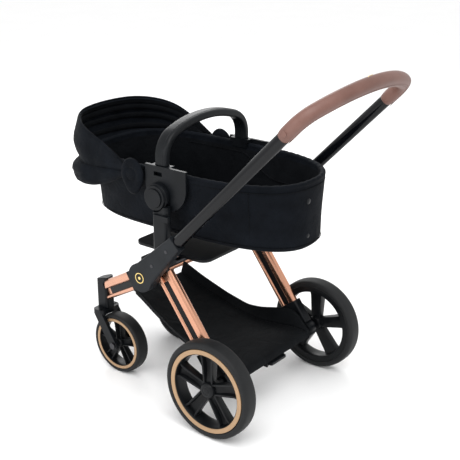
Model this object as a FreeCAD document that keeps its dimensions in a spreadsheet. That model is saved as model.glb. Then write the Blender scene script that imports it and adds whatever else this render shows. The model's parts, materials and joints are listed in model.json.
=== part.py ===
import FreeCAD, Part
import math
import os

import Sketcher
from FreeCAD import Placement, Rotation, Vector

# Baby stroller: folding frame with a telescopic handle, four wheels, basket and a carrycot.
# +X is to the pusher's left, +Y points to the pusher, +Z is up, and the origin lies on the floor
# under the middle of the whole. Lengths along Y are first counted from the rear axle.

DIMENSIONS = [
    ("frame_middle", -171.645, "y of the middle of the whole, from the rear axle"),
    ("pivot_y", -262.0, "main pivot, from the rear axle"),
    ("pivot_z", 408.0, "main pivot, above the floor"),
    ("shaft_radius", 10.0, "main pivot shaft"),
    ("shaft_length", 510.0, "main pivot shaft"),
    ("gap", 0.3, "clearance between parts that move past each other"),
    ("running_gap", 0.05, "radial clearance of a shaft in its bore"),
    # rear wheels
    ("rear_track", 268.0, "middle of a rear wheel from the middle of the stroller"),
    ("rear_radius", 145.0, "rear tyre"),
    ("rear_width", 50.0, "rear tyre"),
    ("rear_pin_radius", 8.0, "rear axle pin"),
    # front wheels
    ("front_track", 144.0, "caster axis from the middle of the stroller"),
    ("caster_y", -522.0, "caster axis, from the rear axle"),
    ("caster_trail", 60.0, "front wheel centre behind the caster axis"),
    ("front_radius", 97.0, "front tyre"),
    ("front_width", 44.0, "front tyre"),
    ("front_pin_radius", 6.0, "front axle pin"),
    ("stem_radius", 10.0, "caster stem"),
    # legs
    ("leg_layer", 207.0, "middle plane of the rear legs and the main joints"),
    ("leg_thickness", 24.0, "leg extrusion, across the stroller"),
    ("leg_depth", 60.0, "leg extrusion, over both rails"),
    ("wide_rail", 27.0, "depth of the wide rail of the extrusion"),
    ("slim_rail", 14.0, "depth of the slim rail of the extrusion"),
    ("web_thickness", 10.0, "web between the rails"),
    ("inlay_thickness", 3.5, "dark inlay on each side of the web"),
    ("wide_round", 11.0, "rounding of the wide rail's outer edges"),
    ("slim_round", 6.5, "rounding of the other edges of the rails"),
    # handle
    ("tube_angle", 45.8, "handle tubes above the horizontal, degrees"),
    ("tube_track", 246.0, "handle tube from the middle of the stroller"),
    ("tube_across", 26.0, "oval handle tube, across the stroller"),
    ("tube_deep", 35.0, "oval handle tube, in its other direction"),
    ("tube_wall", 2.0, "handle tube"),
    ("tube_end", 683.0, "upper end of the outer tube, from the pivot"),
    ("housing_radius", 43.0, "round end of the joint housing"),
    ("housing_length", 188.0, "joint housing, from the pivot"),
    ("grip_start", 684.0, "lower end of the grip, from the pivot"),
    ("grip_apex", 830.0, "middle of the crossbar, from the pivot"),
    ("grip_across", 44.0, "grip section in the plane of the handle"),
    ("grip_deep", 40.0, "grip section square to that plane"),
    # towers and hubs
    ("hub_y", -237.0, "hub axis, from the rear axle"),
    ("hub_z", 642.0, "hub axis, above the floor"),
    ("hub_radius", 40.0, "hub barrel"),
    ("hub_inner_face", 197.6, "hub face towards the carrycot"),
    ("tower_y", -217.0, "tower, from the rear axle"),
    ("tower_depth", 54.0, "tower, along the stroller"),
    ("tower_thickness", 24.0, "tower, across the stroller"),
    # carrycot
    ("cot_half_width", 188.0, "widest half width of the rim"),
    ("cot_foot", 147.0, "foot end of the rim, from the rear axle"),
    ("cot_head", -595.0, "head end of the rim, from the rear axle"),
    ("cot_rim_z", 716.0, "rim above the floor"),
    ("cot_floor_z", 522.0, "underside above the floor"),
    ("cot_base_half_width", 153.0, "half width of the underside"),
    ("cot_wall", 12.0, "padded wall"),
    ("bracket_inner", 188.6, "inner face of the bracket plate"),
    ("bracket_top", 729.0, "top of the bracket"),
    ("bar_half_width", 181.0, "foot of the bumper bar from the middle"),
    ("bar_apex", 847.0, "middle line of the bumper bar at its top"),
    ("bar_across", 24.0, "bumper bar section, across"),
    ("bar_deep", 44.0, "bumper bar section, along the stroller"),
    # canopy
    ("canopy_y", -343.0, "canopy pivots, from the rear axle"),
    ("canopy_z", 692.0, "canopy pivots, above the floor"),
    ("bow_half_width", 194.4, "canopy bows"),
    ("front_bow_reach", 326.0, "front bow, from the pivots"),
    ("mid_bow_reach", 309.0, "mid bow, from the pivots"),
    ("bow_radius", 6.0, "canopy bow rod with its sleeve"),
    ("front_bow_angle", 24.0, "front bow above the horizontal, degrees"),
    ("mid_bow_angle", -3.0, "mid bow above the horizontal, degrees"),
    ("bow_corner", 150.0, "corner radius of the canopy bows"),
    ("bow_sweep", 400.0, "radius of the front of the canopy bows"),
    ("cloth", 6.0, "thickness of the canopy fabric with its folds"),
]

X_AXIS = Vector(1, 0, 0)
Y_AXIS = Vector(0, 1, 0)
Z_AXIS = Vector(0, 0, 1)
UPRIGHT = Rotation()

doc = FreeCAD.newDocument("stroller")
sheet = doc.addObject("Spreadsheet::Sheet", "dims")
for row, (alias, value, meaning) in enumerate(DIMENSIONS, start=1):
    sheet.set(f"A{row}", alias.replace("_", " "))
    sheet.set(f"B{row}", str(value))
    sheet.setAlias(f"B{row}", alias)
    sheet.set(f"C{row}", meaning)
doc.recompute()

subparts = []


# ---------------------------------------------------------------------------------------------
# Sizes: each carries its number and the spreadsheet expression that gives it
# ---------------------------------------------------------------------------------------------

class Size:
    """A driving dimension, or arithmetic on some, with the expression that gives it."""

    def __init__(self, value, text):
        self.value = value
        self.text = text

    def __add__(self, other):
        return Size(self.value + number(other), f"({self.text} + {expression(other)})")

    def __sub__(self, other):
        return Size(self.value - number(other), f"({self.text} - {expression(other)})")

    def __mul__(self, other):
        return Size(self.value * number(other), f"({self.text} * {expression(other)})")

    def __truediv__(self, other):
        return Size(self.value / number(other), f"({self.text} / {expression(other)})")

    def __neg__(self):
        return Size(-self.value, f"(0 - {self.text})")


def number(size):
    return size.value if isinstance(size, Size) else float(size)


def expression(size):
    return size.text if isinstance(size, Size) else repr(float(size))


def dim(alias):
    return Size(float(sheet.get(alias)), f"dims.{alias}")


def mm(alias):
    return dim(alias).value


def bind(obj, **sizes):
    for name, size in sizes.items():
        if isinstance(size, Size):
            obj.setExpression(name, size.text)
        else:
            setattr(obj, name, size)


# ---------------------------------------------------------------------------------------------
# Places and directions
# ---------------------------------------------------------------------------------------------

def at(x, y, z):
    """Point whose Y is counted back from the rear axle."""
    return Vector(x, y - mm("frame_middle"), z)


def in_side_view(angle):
    """Direction in the side view, counted up from +Y in degrees."""
    radians = math.radians(angle)
    return Vector(0, math.cos(radians), math.sin(radians))


def turned(direction):
    """Rotation whose local Z is the direction and whose local X stays near the X axis."""
    along = Vector(direction).normalize()
    across = (X_AXIS - along * along.dot(X_AXIS)).normalize()
    return Rotation(across, along.cross(across), along, "ZXY")


TUBE = in_side_view(mm("tube_angle"))
TUBE_TURN = turned(TUBE)
PIVOT = at(0, mm("pivot_y"), mm("pivot_z"))
HUB = at(0, mm("hub_y"), mm("hub_z"))
CANOPY_PIVOT = at(0, mm("canopy_y"), mm("canopy_z"))
REAR_WHEEL = at(mm("rear_track"), 0, mm("rear_radius"))
CASTER = at(mm("front_track"), mm("caster_y"), 0)
FRONT_WHEEL = CASTER + Vector(0, mm("caster_trail"), mm("front_radius"))


# ---------------------------------------------------------------------------------------------
# Building helpers
# ---------------------------------------------------------------------------------------------

def cylinder(name, radius, length, base, direction=X_AXIS):
    solid = doc.addObject("Part::Cylinder", name)
    bind(solid, Radius=radius, Height=length)
    solid.Placement = Placement(base, Rotation(Z_AXIS, direction))
    return solid


def block(name, across, deep, high, centre, turn=UPRIGHT):
    """Box of three sizes about its centre."""
    solid = doc.addObject("Part::Box", name)
    bind(solid, Length=across, Width=deep, Height=high)
    half = Vector(number(across), number(deep), number(high)) * 0.5
    solid.Placement = Placement(centre - turn.multVec(half), turn)
    return solid


def fused(name, *solids):
    union = doc.addObject("Part::MultiFuse", name)
    union.Shapes = list(solids)
    return union


def cut(name, solid, *tools):
    difference = doc.addObject("Part::Cut", name)
    difference.Base = solid
    difference.Tool = tools[0] if len(tools) == 1 else fused(name + "_tools", *tools)
    return difference


def group(name, *solids):
    """Separate solids that share one node."""
    together = doc.addObject("Part::Compound", name)
    together.Links = list(solids)
    return together


def mirrored(name, source):
    twin = doc.addObject("Part::Mirroring", name)
    twin.Source = source
    twin.Normal = X_AXIS
    twin.Base = Vector(0, 0, 0)
    return twin


def feature(name, shape, place=None):
    solid = doc.addObject("Part::Feature", name)
    solid.Shape = shape
    if place:
        solid.Placement = place
    return solid


def keep(label, solid):
    """Hand in a solid as the sub-part of that name."""
    solid.Label = label
    subparts.append(solid)
    return solid


def keep_pair(label, left_solid):
    """Hand in the left solid and its mirror image."""
    keep(label + "_left", left_solid)
    keep(label + "_right", mirrored(label + "_right", left_solid))


def sketch_on(body, role):
    plane = next(item for item in body.Origin.OriginFeatures if item.Role == role)
    sketch = body.newObject("Sketcher::SketchObject", body.Name + "_sketch")
    sketch.AttachmentSupport = [(plane, "")]
    sketch.MapMode = "FlatFace"
    return sketch


def draw_outline(sketch, corners):
    """Closed outline of straight sides through corners that are pairs of sizes."""
    points = [Vector(number(h), number(v), 0) for h, v in corners]
    count = len(points)
    for index, point in enumerate(points):
        sketch.addGeometry(Part.LineSegment(point, points[(index + 1) % count]))
    for index, (across, up) in enumerate(corners):
        sketch.addConstraint(Sketcher.Constraint("Coincident", index, 2, (index + 1) % count, 1))
        for kind, size in (("DistanceX", across), ("DistanceY", up)):
            row = sketch.addConstraint(Sketcher.Constraint(kind, -1, 1, index, 1, number(size)))
            if isinstance(size, Size):
                sketch.setExpression(f"Constraints[{row}]", size.text)


def padded(body, sketch, length, midplane=False):
    pad = body.newObject("PartDesign::Pad", body.Name + "_pad")
    pad.Profile = sketch
    pad.Midplane = midplane
    bind(pad, Length=length)
    return pad


def revolved(name, corners, base, direction=X_AXIS):
    """Ring or disc turned about its local Z from (radius, height) corners."""
    body = doc.addObject("PartDesign::Body", name)
    sketch = sketch_on(body, "XZ_Plane")
    draw_outline(sketch, corners)
    turn = body.newObject("PartDesign::Revolution", name + "_turn")
    turn.Profile = sketch
    turn.ReferenceAxis = (sketch, ["V_Axis"])
    turn.Angle = 360
    body.Tip = turn
    body.Placement = Placement(base, Rotation(Z_AXIS, direction))
    return body


def long_edges(shape, direction, likeness=0.999):
    """Names of the straight edges that run along a direction."""
    names = []
    for index, edge in enumerate(shape.Edges, start=1):
        straight = edge.Curve.TypeId == "Part::GeomLine"
        if straight and abs(edge.tangentAt(edge.FirstParameter).dot(direction)) > likeness:
            names.append(f"Edge{index}")
    return names


def rounded(body, base, radius, names):
    fillet = body.newObject("PartDesign::Fillet", body.Name + "_fillet")
    fillet.Base = (base, names)
    bind(fillet, Radius=radius)
    body.Tip = fillet
    return fillet


def bar(name, corners, length, corner, base, turn=UPRIGHT):
    """Straight bar of the outline, its long edges rounded, about its base point along local Z."""
    body = doc.addObject("PartDesign::Body", name)
    sketch = sketch_on(body, "XY_Plane")
    draw_outline(sketch, corners)
    pad = padded(body, sketch, length)
    doc.recompute()
    rounded(body, pad, corner, long_edges(pad.Shape, Z_AXIS))
    body.Placement = Placement(base, turn)
    return body


def rectangle(across, deep):
    half_across = across / 2
    half_deep = deep / 2
    return [
        (-half_across, -half_deep),
        (half_across, -half_deep),
        (half_across, half_deep),
        (-half_across, half_deep),
    ]


def plate(name, across, deep, thick, corner, centre, turn=UPRIGHT):
    """Rounded rectangular plate about its centre, thin along local Z."""
    shift = turn.multVec(Vector(0, 0, -number(thick) / 2))
    return bar(name, rectangle(across, deep), thick, corner, centre + shift, turn)


# ---------------------------------------------------------------------------------------------
# Curved paths
# ---------------------------------------------------------------------------------------------

def bow_edges(half_width, apex, corner, sweep, start):
    """Half hoop in the local XZ plane: two legs, two corners and a gently bowed front."""
    sweep_centre = apex - sweep
    corner_x = half_width - corner
    leg = sweep_centre + math.sqrt((sweep - corner) ** 2 - corner_x ** 2)
    lean = math.atan2(leg - sweep_centre, corner_x)
    middle = lean / 2

    def on_corner(side, angle):
        return Vector(side * (corner_x + corner * math.cos(angle)), 0, leg + corner * math.sin(angle))

    edges = [Part.LineSegment(Vector(half_width, 0, start), Vector(half_width, 0, leg))]
    edges.append(Part.Arc(on_corner(1, 0), on_corner(1, middle), on_corner(1, lean)))
    edges.append(Part.Arc(on_corner(1, lean), Vector(0, 0, apex), on_corner(-1, lean)))
    edges.append(Part.Arc(on_corner(-1, lean), on_corner(-1, middle), on_corner(-1, 0)))
    edges.append(Part.LineSegment(Vector(-half_width, 0, leg), Vector(-half_width, 0, start)))
    return [edge.toShape() for edge in edges]


def oval(centre, across, deep):
    """Ellipse in the local XY plane with the two full widths."""
    tips = [(across / 2, Vector(across / 2, 0, 0)), (deep / 2, Vector(0, deep / 2, 0))]
    tips.sort(key=lambda tip: -tip[0])
    if abs(tips[0][0] - tips[1][0]) < 1e-6:
        curve = Part.Circle(centre, Z_AXIS, across / 2)
    else:
        curve = Part.Ellipse(centre + tips[0][1], centre + tips[1][1], centre)
    return Part.Wire([curve.toShape()])


def hoop(half_width, apex, corner, sweep, start, across, deep):
    """Solid of an oval section along a half hoop."""
    path = Part.Wire(bow_edges(half_width, apex, corner, sweep, start))
    section = oval(Vector(half_width, 0, start), across, deep)
    return path.makePipeShell([section], True, False)


# ---------------------------------------------------------------------------------------------
# Wheels
# ---------------------------------------------------------------------------------------------

RIM_SHARE = 0.87
BAND_SHARE = 0.735
RING_SHARES = (0.768, 0.86)
BOSS_SHARE = 0.16
SPOKE_SHARE = 0.75
SPOKE_COUNT = 5


def wheel(label, radius, width, pin_radius, centre, bore_length):
    """Tyre, spoked rim and trim ring, with the axle along X and the outside towards +X."""
    half = width / 2
    keep_pair(label + "_tyre", rounded_tyre(label + "_tyre", radius, width, centre))
    inner, outer = (radius * share for share in RING_SHARES)
    face = half - 0.5
    back = half - 5.0
    ring = revolved(label + "_ring", [(inner, back), (outer, back), (outer, face), (inner, face)], centre)
    keep_pair(label + "_trim_ring", ring)
    keep_pair(label + "_rim", spoked_rim(label, radius, width, pin_radius, centre, bore_length))


def rounded_tyre(name, radius, width, centre):
    half = width / 2
    inner = radius * RIM_SHARE
    body = doc.addObject("PartDesign::Body", name)
    sketch = sketch_on(body, "XZ_Plane")
    draw_outline(sketch, [(inner, -half), (radius, -half), (radius, half), (inner, half)])
    turn = body.newObject("PartDesign::Revolution", name + "_turn")
    turn.Profile = sketch
    turn.ReferenceAxis = (sketch, ["V_Axis"])
    turn.Angle = 360
    doc.recompute()
    outer = [
        f"Edge{index}"
        for index, edge in enumerate(turn.Shape.Edges, start=1)
        if hasattr(edge.Curve, "Radius") and edge.Curve.Radius > number(inner) + 1
    ]
    rounded(body, turn, radius * 0.1, outer)
    body.Placement = Placement(centre, Rotation(Z_AXIS, X_AXIS))
    return body


def spoked_rim(label, radius, width, pin_radius, centre, bore_length):
    half = width / 2
    low = radius * BAND_SHARE
    high = radius * RIM_SHARE
    back = -(half - 3.0)
    face = half - 5.0
    band_ring = revolved(label + "_band", [(low, back), (high, back), (high, face), (low, face)], centre)
    boss = cylinder(label + "_boss", radius * BOSS_SHARE, width - 4.0, centre - X_AXIS * (number(half) - 2))
    pieces = [band_ring, boss]
    length = radius * SPOKE_SHARE
    for index in range(SPOKE_COUNT):
        turn = Rotation(X_AXIS, 360.0 / SPOKE_COUNT * index)
        middle = centre + turn.multVec(Z_AXIS) * (number(length) / 2)
        pieces.append(block(f"{label}_spoke_{index}", width * 0.3, radius * 0.27, length, middle, turn))
        for side in (-1, 1):
            edge_shift = turn.multVec(Y_AXIS) * (side * number(radius) * 0.115)
            rib_middle = middle + edge_shift + X_AXIS * (number(width) * 0.1)
            rib_name = f"{label}_rib_{index}_{side + 1}"
            pieces.append(block(rib_name, width * 0.5, radius * 0.04, length, rib_middle, turn))
    bore_start = centre - X_AXIS * (number(half) + 0.5)
    bore = cylinder(label + "_bore", pin_radius + dim("running_gap"), bore_length, bore_start)
    return cut(label + "_rim", fused(label + "_rim_solid", *pieces), bore)


# The rear pins end inside the wheels; the front bolts go through them.
rear_bore = dim("rear_width") - 8.0
front_bore = dim("front_width") + 1.0
wheel("rear", dim("rear_radius"), dim("rear_width"), dim("rear_pin_radius"), REAR_WHEEL, rear_bore)
wheel("front", dim("front_radius"), dim("front_width"), dim("front_pin_radius"), FRONT_WHEEL, front_bore)


# ---------------------------------------------------------------------------------------------
# Legs: an extrusion of two rails joined by a web, with a dark inlay on each side of the web
# ---------------------------------------------------------------------------------------------

def leg_corners(wide_side):
    """Outline of the extrusion, its wide rail on one side (1 or -1) of local Y."""
    half = dim("leg_thickness") / 2
    web = dim("web_thickness") / 2
    outer = dim("leg_depth") / 2
    upper_rail, lower_rail = dim("wide_rail"), dim("slim_rail")
    if wide_side < 0:
        upper_rail, lower_rail = lower_rail, upper_rail
    upper = outer - upper_rail
    lower = lower_rail - outer
    return [
        (-half, -outer),
        (half, -outer),
        (half, lower),
        (web, lower),
        (web, upper),
        (half, upper),
        (half, outer),
        (-half, outer),
        (-half, upper),
        (-web, upper),
        (-web, lower),
        (-half, lower),
    ]


def rail_edges(shape, wide_side):
    """Names of the long edges: the two outermost of the wide rail, and the six others."""
    outside = mm("leg_thickness") / 2 - 0.1
    outermost = mm("leg_depth") / 2 - 0.1
    wide = []
    others = []
    for name in long_edges(shape, Z_AXIS):
        centre = shape.getElement(name).CenterOfMass
        if abs(centre.x) > outside:
            (wide if centre.y * wide_side > outermost else others).append(name)
    return wide, others


def leg_extrusion(name, length, base, turn, wide_side):
    body = doc.addObject("PartDesign::Body", name)
    sketch = sketch_on(body, "XY_Plane")
    draw_outline(sketch, leg_corners(wide_side))
    rails = padded(body, sketch, length)
    doc.recompute()
    rails = rounded(body, rails, dim("slim_round"), rail_edges(rails.Shape, wide_side)[1])
    doc.recompute()
    rounded(body, rails, dim("wide_round"), rail_edges(rails.Shape, wide_side)[0])
    body.Placement = Placement(base, turn)
    return body


def leg_inlays(name, length, base, turn, wide_side):
    depth = dim("leg_depth") - dim("wide_rail") - dim("slim_rail")
    shift = wide_side * (mm("slim_rail") - mm("wide_rail")) / 2
    middle = base + turn.multVec(Vector(0, shift, length / 2))
    strips = []
    for side in (-1, 1):
        offset = side * (mm("web_thickness") / 2 + mm("inlay_thickness") / 2)
        centre = middle + turn.multVec(Vector(offset, 0, 0))
        strips.append(block(f"{name}_{side + 1}", dim("inlay_thickness"), depth, length, centre, turn))
    return strips


REAR_LEG_ANGLE = -53.4
REAR_LEG_TOP = at(mm("leg_layer"), -211.9, 417.5)
REAR_LEG_LENGTH = 272.0
REAR_LEG_TURN = turned(in_side_view(REAR_LEG_ANGLE))
LUG_RADIUS = 36.0

rear_rails = leg_extrusion("rear_leg_rails", REAR_LEG_LENGTH, REAR_LEG_TOP, REAR_LEG_TURN, -1)
lug_base = PIVOT + X_AXIS * (mm("leg_layer") - mm("leg_thickness") / 2 + mm("gap"))
lug_length = dim("leg_thickness") - dim("gap") * 2
rear_lug = cylinder("rear_leg_lug", LUG_RADIUS, lug_length, lug_base)
lug_bore = cylinder(
    "rear_leg_bore", dim("shaft_radius") + dim("running_gap"), dim("leg_thickness") + 4.0, lug_base - X_AXIS * 2
)
rear_leg = cut("rear_leg_left", fused("rear_leg_solid", rear_rails, rear_lug), lug_bore)
keep_pair("rear_leg", rear_leg)

INLAY_START = 22.0
FOOT_BLOCK_START = 250.0
rear_inlays = leg_inlays(
    "rear_inlay",
    FOOT_BLOCK_START - INLAY_START - 1.0,
    REAR_LEG_TOP + in_side_view(REAR_LEG_ANGLE) * INLAY_START,
    REAR_LEG_TURN,
    -1,
)
rear_inlay_left = group("rear_inlay_left", *rear_inlays)
keep("rear_leg_inlays", group("rear_leg_inlays", rear_inlay_left, mirrored("rear_inlay_right", rear_inlay_left)))

# The rear foot wraps the end of the leg and carries the axle.
FOOT_BLOCK_LENGTH = 76.0
foot_block = bar(
    "foot_block",
    rectangle(dim("leg_thickness") + 8.0, dim("leg_depth") + 8.0),
    FOOT_BLOCK_LENGTH,
    6.0,
    REAR_LEG_TOP + in_side_view(REAR_LEG_ANGLE) * FOOT_BLOCK_START,
    REAR_LEG_TURN,
)
foot_hub = cylinder("foot_hub", 27.0, 32.0, REAR_WHEEL - X_AXIS * (mm("rear_track") - mm("leg_layer") + 16))
foot_spacer = cylinder("foot_spacer", 15.0, 19.0, REAR_WHEEL - X_AXIS * (mm("rear_track") - 223))
axle_hole = cylinder("foot_axle_hole", dim("rear_pin_radius"), 60.0, REAR_WHEEL - X_AXIS * 80)
rear_foot = cut("rear_foot_left", fused("foot_solid", foot_block, foot_hub, foot_spacer), rear_rails, axle_hole)
keep_pair("rear_foot", rear_foot)

# The axle beam joins the feet; a pin at each end carries a wheel.
BEAM_HALF = 190.0
beam = plate("axle_beam", 34.0, 38.0, BEAM_HALF * 2, 7.0, at(0, 0, 140), Rotation(Z_AXIS, X_AXIS))
axle_pin = cylinder("axle_pin", dim("rear_pin_radius"), 562.0, at(-281.0, 0, mm("rear_radius")))
PEDAL_Y = 26.5
PEDAL_Z = 132.0
PEDAL_HALF = 38.0
PEDAL_PIN_RADIUS = 3.0
pedal_pin = cylinder("pedal_pin", PEDAL_PIN_RADIUS, PEDAL_HALF * 2 + 8, at(-PEDAL_HALF - 4, PEDAL_Y, PEDAL_Z))
pedal_lugs = [
    block(f"pedal_lug_{side + 1}", 5.0, 14.0, 12.0, at(side * (PEDAL_HALF + 3), PEDAL_Y - 1.5, PEDAL_Z))
    for side in (-1, 1)
]
keep("rear_axle", fused("rear_axle", beam, axle_pin, pedal_pin, *pedal_lugs))

# Front legs run forward, down and inward from the main joints to the steering heads.
FRONT_LEG_FROM = PIVOT + Vector(mm("leg_layer"), -56.1, -33.3)
FRONT_LEG_TO = Vector(CASTER.x, CASTER.y, 257.0)
FRONT_LEG_LINE = FRONT_LEG_TO - FRONT_LEG_FROM
FRONT_LEG_TURN = turned(FRONT_LEG_LINE)
front_rails = leg_extrusion("front_leg_rails", FRONT_LEG_LINE.Length + 20, FRONT_LEG_FROM, FRONT_LEG_TURN, 1)
HEAD_DEPTH = 44.0
HEAD_ACROSS = 36.0
trim = block("front_leg_trim", 200.0, 200.0, 300.0, CASTER + Vector(0, HEAD_DEPTH / 2 - 104, 265))
front_leg = cut("front_leg_left", front_rails, trim)
keep_pair("front_leg", front_leg)

front_inlay_from = FRONT_LEG_FROM + Vector(FRONT_LEG_LINE).normalize() * 31.0
front_inlays = leg_inlays("front_inlay", 158.0, front_inlay_from, FRONT_LEG_TURN, 1)
front_inlay_left = group("front_inlay_left", *front_inlays)
keep(
    "front_leg_inlays",
    group("front_leg_inlays", front_inlay_left, mirrored("front_inlay_right", front_inlay_left)),
)

# Steering head with the bore of the caster stem, its top sloping down to the front.
HEAD_LOW = 205.5
HEAD_HIGH = 309.0
head_block = plate(
    "head_block",
    HEAD_ACROSS,
    HEAD_DEPTH,
    HEAD_HIGH - HEAD_LOW,
    9.0,
    CASTER + Vector(0, 0, (HEAD_LOW + HEAD_HIGH) / 2),
)
head_slope = block("head_slope", 80.0, 120.0, 40.0, CASTER + Vector(0, -22, 319), Rotation(X_AXIS, 20))
stem_bore = cylinder(
    "stem_bore", dim("stem_radius") + dim("running_gap"), 80.0, CASTER + Vector(0, 0, HEAD_LOW - 1), Z_AXIS
)
keep_pair("steering_head", cut("steering_head_left", head_block, head_slope, stem_bore, front_rails))


# ---------------------------------------------------------------------------------------------
# Casters
# ---------------------------------------------------------------------------------------------

CROWN_LOW = 187.5
CROWN_HIGH = 204.0
ARM_OFFSET = 33.0
ARM_THICKNESS = 12.0
crown_middle = CASTER + Vector(0, 0, (CROWN_HIGH + CROWN_LOW) / 2)
crown = plate("fork_crown", 80.0, 44.0, CROWN_HIGH - CROWN_LOW, 12.0, crown_middle)
stem = cylinder("fork_stem", dim("stem_radius"), 82.0, CASTER + Vector(0, 0, CROWN_HIGH - 4), Z_AXIS)
arm_top = CASTER + Vector(0, -4, CROWN_HIGH - 6)
arm_line = FRONT_WHEEL - arm_top
arm_parts = [crown, stem]
for side in (-1, 1):
    offset = X_AXIS * (side * ARM_OFFSET)
    arm_parts.append(
        block(
            f"fork_arm_{side + 1}",
            ARM_THICKNESS,
            30.0,
            arm_line.Length,
            (arm_top + FRONT_WHEEL) * 0.5 + offset,
            turned(arm_line),
        )
    )
    arm_parts.append(
        cylinder(f"fork_eye_{side + 1}", 16.0, ARM_THICKNESS, FRONT_WHEEL + offset - X_AXIS * (ARM_THICKNESS / 2))
    )
axle_hole_front = cylinder("fork_axle_hole", dim("front_pin_radius"), 100.0, FRONT_WHEEL - X_AXIS * 50)
tyre_room = cylinder("fork_tyre_room", dim("front_radius") + 2.0, 54.0, FRONT_WHEEL - X_AXIS * 27)
fork_core = cut("fork_core", fused("fork_solid", *arm_parts), tyre_room, axle_hole_front)
keep_pair("fork", fork_core)
front_bolt = fused(
    "front_axle_left",
    cylinder("front_bolt", dim("front_pin_radius"), 78.0, FRONT_WHEEL - X_AXIS * 39),
    cylinder("front_bolt_head", 10.0, 4.0, FRONT_WHEEL + X_AXIS * 39),
    cylinder("front_bolt_nut", 10.0, 4.0, FRONT_WHEEL - X_AXIS * 43),
)
keep_pair("front_axle", front_bolt)


# ---------------------------------------------------------------------------------------------
# Main joints, towers, hubs
# ---------------------------------------------------------------------------------------------

shaft = cylinder("pivot_shaft", dim("shaft_radius"), dim("shaft_length"), PIVOT - X_AXIS * (mm("shaft_length") / 2))
keep("pivot_shaft", shaft)

CHEEK_THICKNESS = 11.0
CHEEK_RADIUS = 42.0
CHEEK_OFFSET = (mm("leg_thickness") + CHEEK_THICKNESS) / 2
JOINT_THICKNESS = mm("leg_thickness") + 2 * CHEEK_THICKNESS
leg_forward = in_side_view(180.0 + math.degrees(math.atan2(41.0, 69.0)))
arm_turn = turned(leg_forward)
clevis = []
for side in (-1, 1):
    x = mm("leg_layer") + side * CHEEK_OFFSET
    cheek_base = PIVOT + X_AXIS * (x - CHEEK_THICKNESS / 2)
    clevis.append(cylinder(f"cheek_{side + 1}", CHEEK_RADIUS, CHEEK_THICKNESS, cheek_base))
    clevis.append(
        block(f"cheek_arm_{side + 1}", CHEEK_THICKNESS, 62.0, 78.0, PIVOT + X_AXIS * x + leg_forward * 41, arm_turn)
    )
clevis.append(
    block("clevis_block", JOINT_THICKNESS, 62.0, 34.0, PIVOT + X_AXIS * mm("leg_layer") + leg_forward * 63, arm_turn)
)
SHOULDER_HIGH = 458.0
clevis.append(block("shoulder", JOINT_THICKNESS, 94.0, 12.0, at(mm("leg_layer"), -237.0, SHOULDER_HIGH - 6)))
clevis_solid = fused("clevis", *clevis)
shaft_hole = cylinder("shaft_hole", dim("shaft_radius"), 80.0, PIVOT + X_AXIS * 160)
keep_pair("joint_body", cut("joint_body_left", clevis_solid, front_rails, shaft_hole))

# Tower from the shoulder up to the hub, hollowed where the hub barrel sits and for its button.
TOWER_X = 211.0
TOWER_HIGH = 622.0
tower_middle = at(TOWER_X, mm("tower_y"), (TOWER_HIGH + SHOULDER_HIGH) / 2)
tower_high = TOWER_HIGH - SHOULDER_HIGH
tower_solid = plate(
    "tower_solid", dim("tower_thickness"), dim("tower_depth"), tower_high, 9.0, tower_middle
)
hub_room = cylinder("hub_room", dim("hub_radius"), 60.0, HUB + X_AXIS * 180)
RELEASE_Y = -207.0
RELEASE_Z = 590.0
button_room = block("button_room", 14.6, 56.6, 16.6, at(219.0, RELEASE_Y, RELEASE_Z))
keep_pair("seat_tower", cut("seat_tower_left", tower_solid, hub_room, button_room))

release = plate("release_button_left", 14.0, 56.0, 16.0, 3.0, at(222.0, RELEASE_Y, RELEASE_Z))
keep_pair("release_button", release)

hub_face = HUB + X_AXIS * mm("hub_inner_face")
HUB_STEP = 15.0
HUB_LENGTH = 23.0
BUTTON_RADIUS = 27.0
hub_solid = fused(
    "hub_solid",
    cylinder("hub_barrel", dim("hub_radius"), HUB_STEP, hub_face),
    cylinder("hub_step", dim("hub_radius") - 4.0, HUB_LENGTH, hub_face),
)
hub_pocket = cylinder("hub_pocket", BUTTON_RADIUS + 0.3, 20.0, hub_face + X_AXIS * 12)
HUB_PIN_RADIUS = 12.0
hub_bore = cylinder("hub_bore", dim("running_gap") + HUB_PIN_RADIUS, 30.0, hub_face - X_AXIS * 1)
keep_pair("hub", cut("hub_left", hub_solid, hub_pocket, hub_bore))
hub_button = cylinder("hub_button_left", BUTTON_RADIUS, 9.5, hub_face + X_AXIS * 17)
keep_pair("hub_button", hub_button)

# Cross plate on a bar between the two joint bodies.
PLATE_HIGH = 466.0
PLATE_THICKNESS = 8.0
tray_middle = at(0, -238.0, PLATE_HIGH - PLATE_THICKNESS / 2)
tray = plate("tray_plate", 326.0, 272.0, PLATE_THICKNESS, 30.0, tray_middle)
INNER_CHEEK = mm("leg_layer") - JOINT_THICKNESS / 2
tray_bar = block("tray_bar", INNER_CHEEK * 2, 60.0, 12.0, at(0, -251.0, SHOULDER_HIGH - 6))
keep("cross_plate", fused("cross_plate", tray, tray_bar))


# ---------------------------------------------------------------------------------------------
# Handle
# ---------------------------------------------------------------------------------------------

def on_tube(x, distance):
    return PIVOT + TUBE * distance + X_AXIS * x


def oval_bar(name, across, deep, start, end):
    """Oval bar along the left handle tube."""
    ellipse = doc.addObject("Part::Ellipse", name + "_section")
    bind(ellipse, MajorRadius=deep / 2, MinorRadius=across / 2)
    ellipse.Placement = Placement(
        on_tube(mm("tube_track"), start), TUBE_TURN * Rotation(Z_AXIS, 90)
    )
    solid = doc.addObject("Part::Extrusion", name)
    solid.Base = ellipse
    solid.DirMode = "Custom"
    solid.Dir = TUBE
    solid.Solid = True
    bind(solid, LengthFwd=end - start)
    return solid


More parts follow.
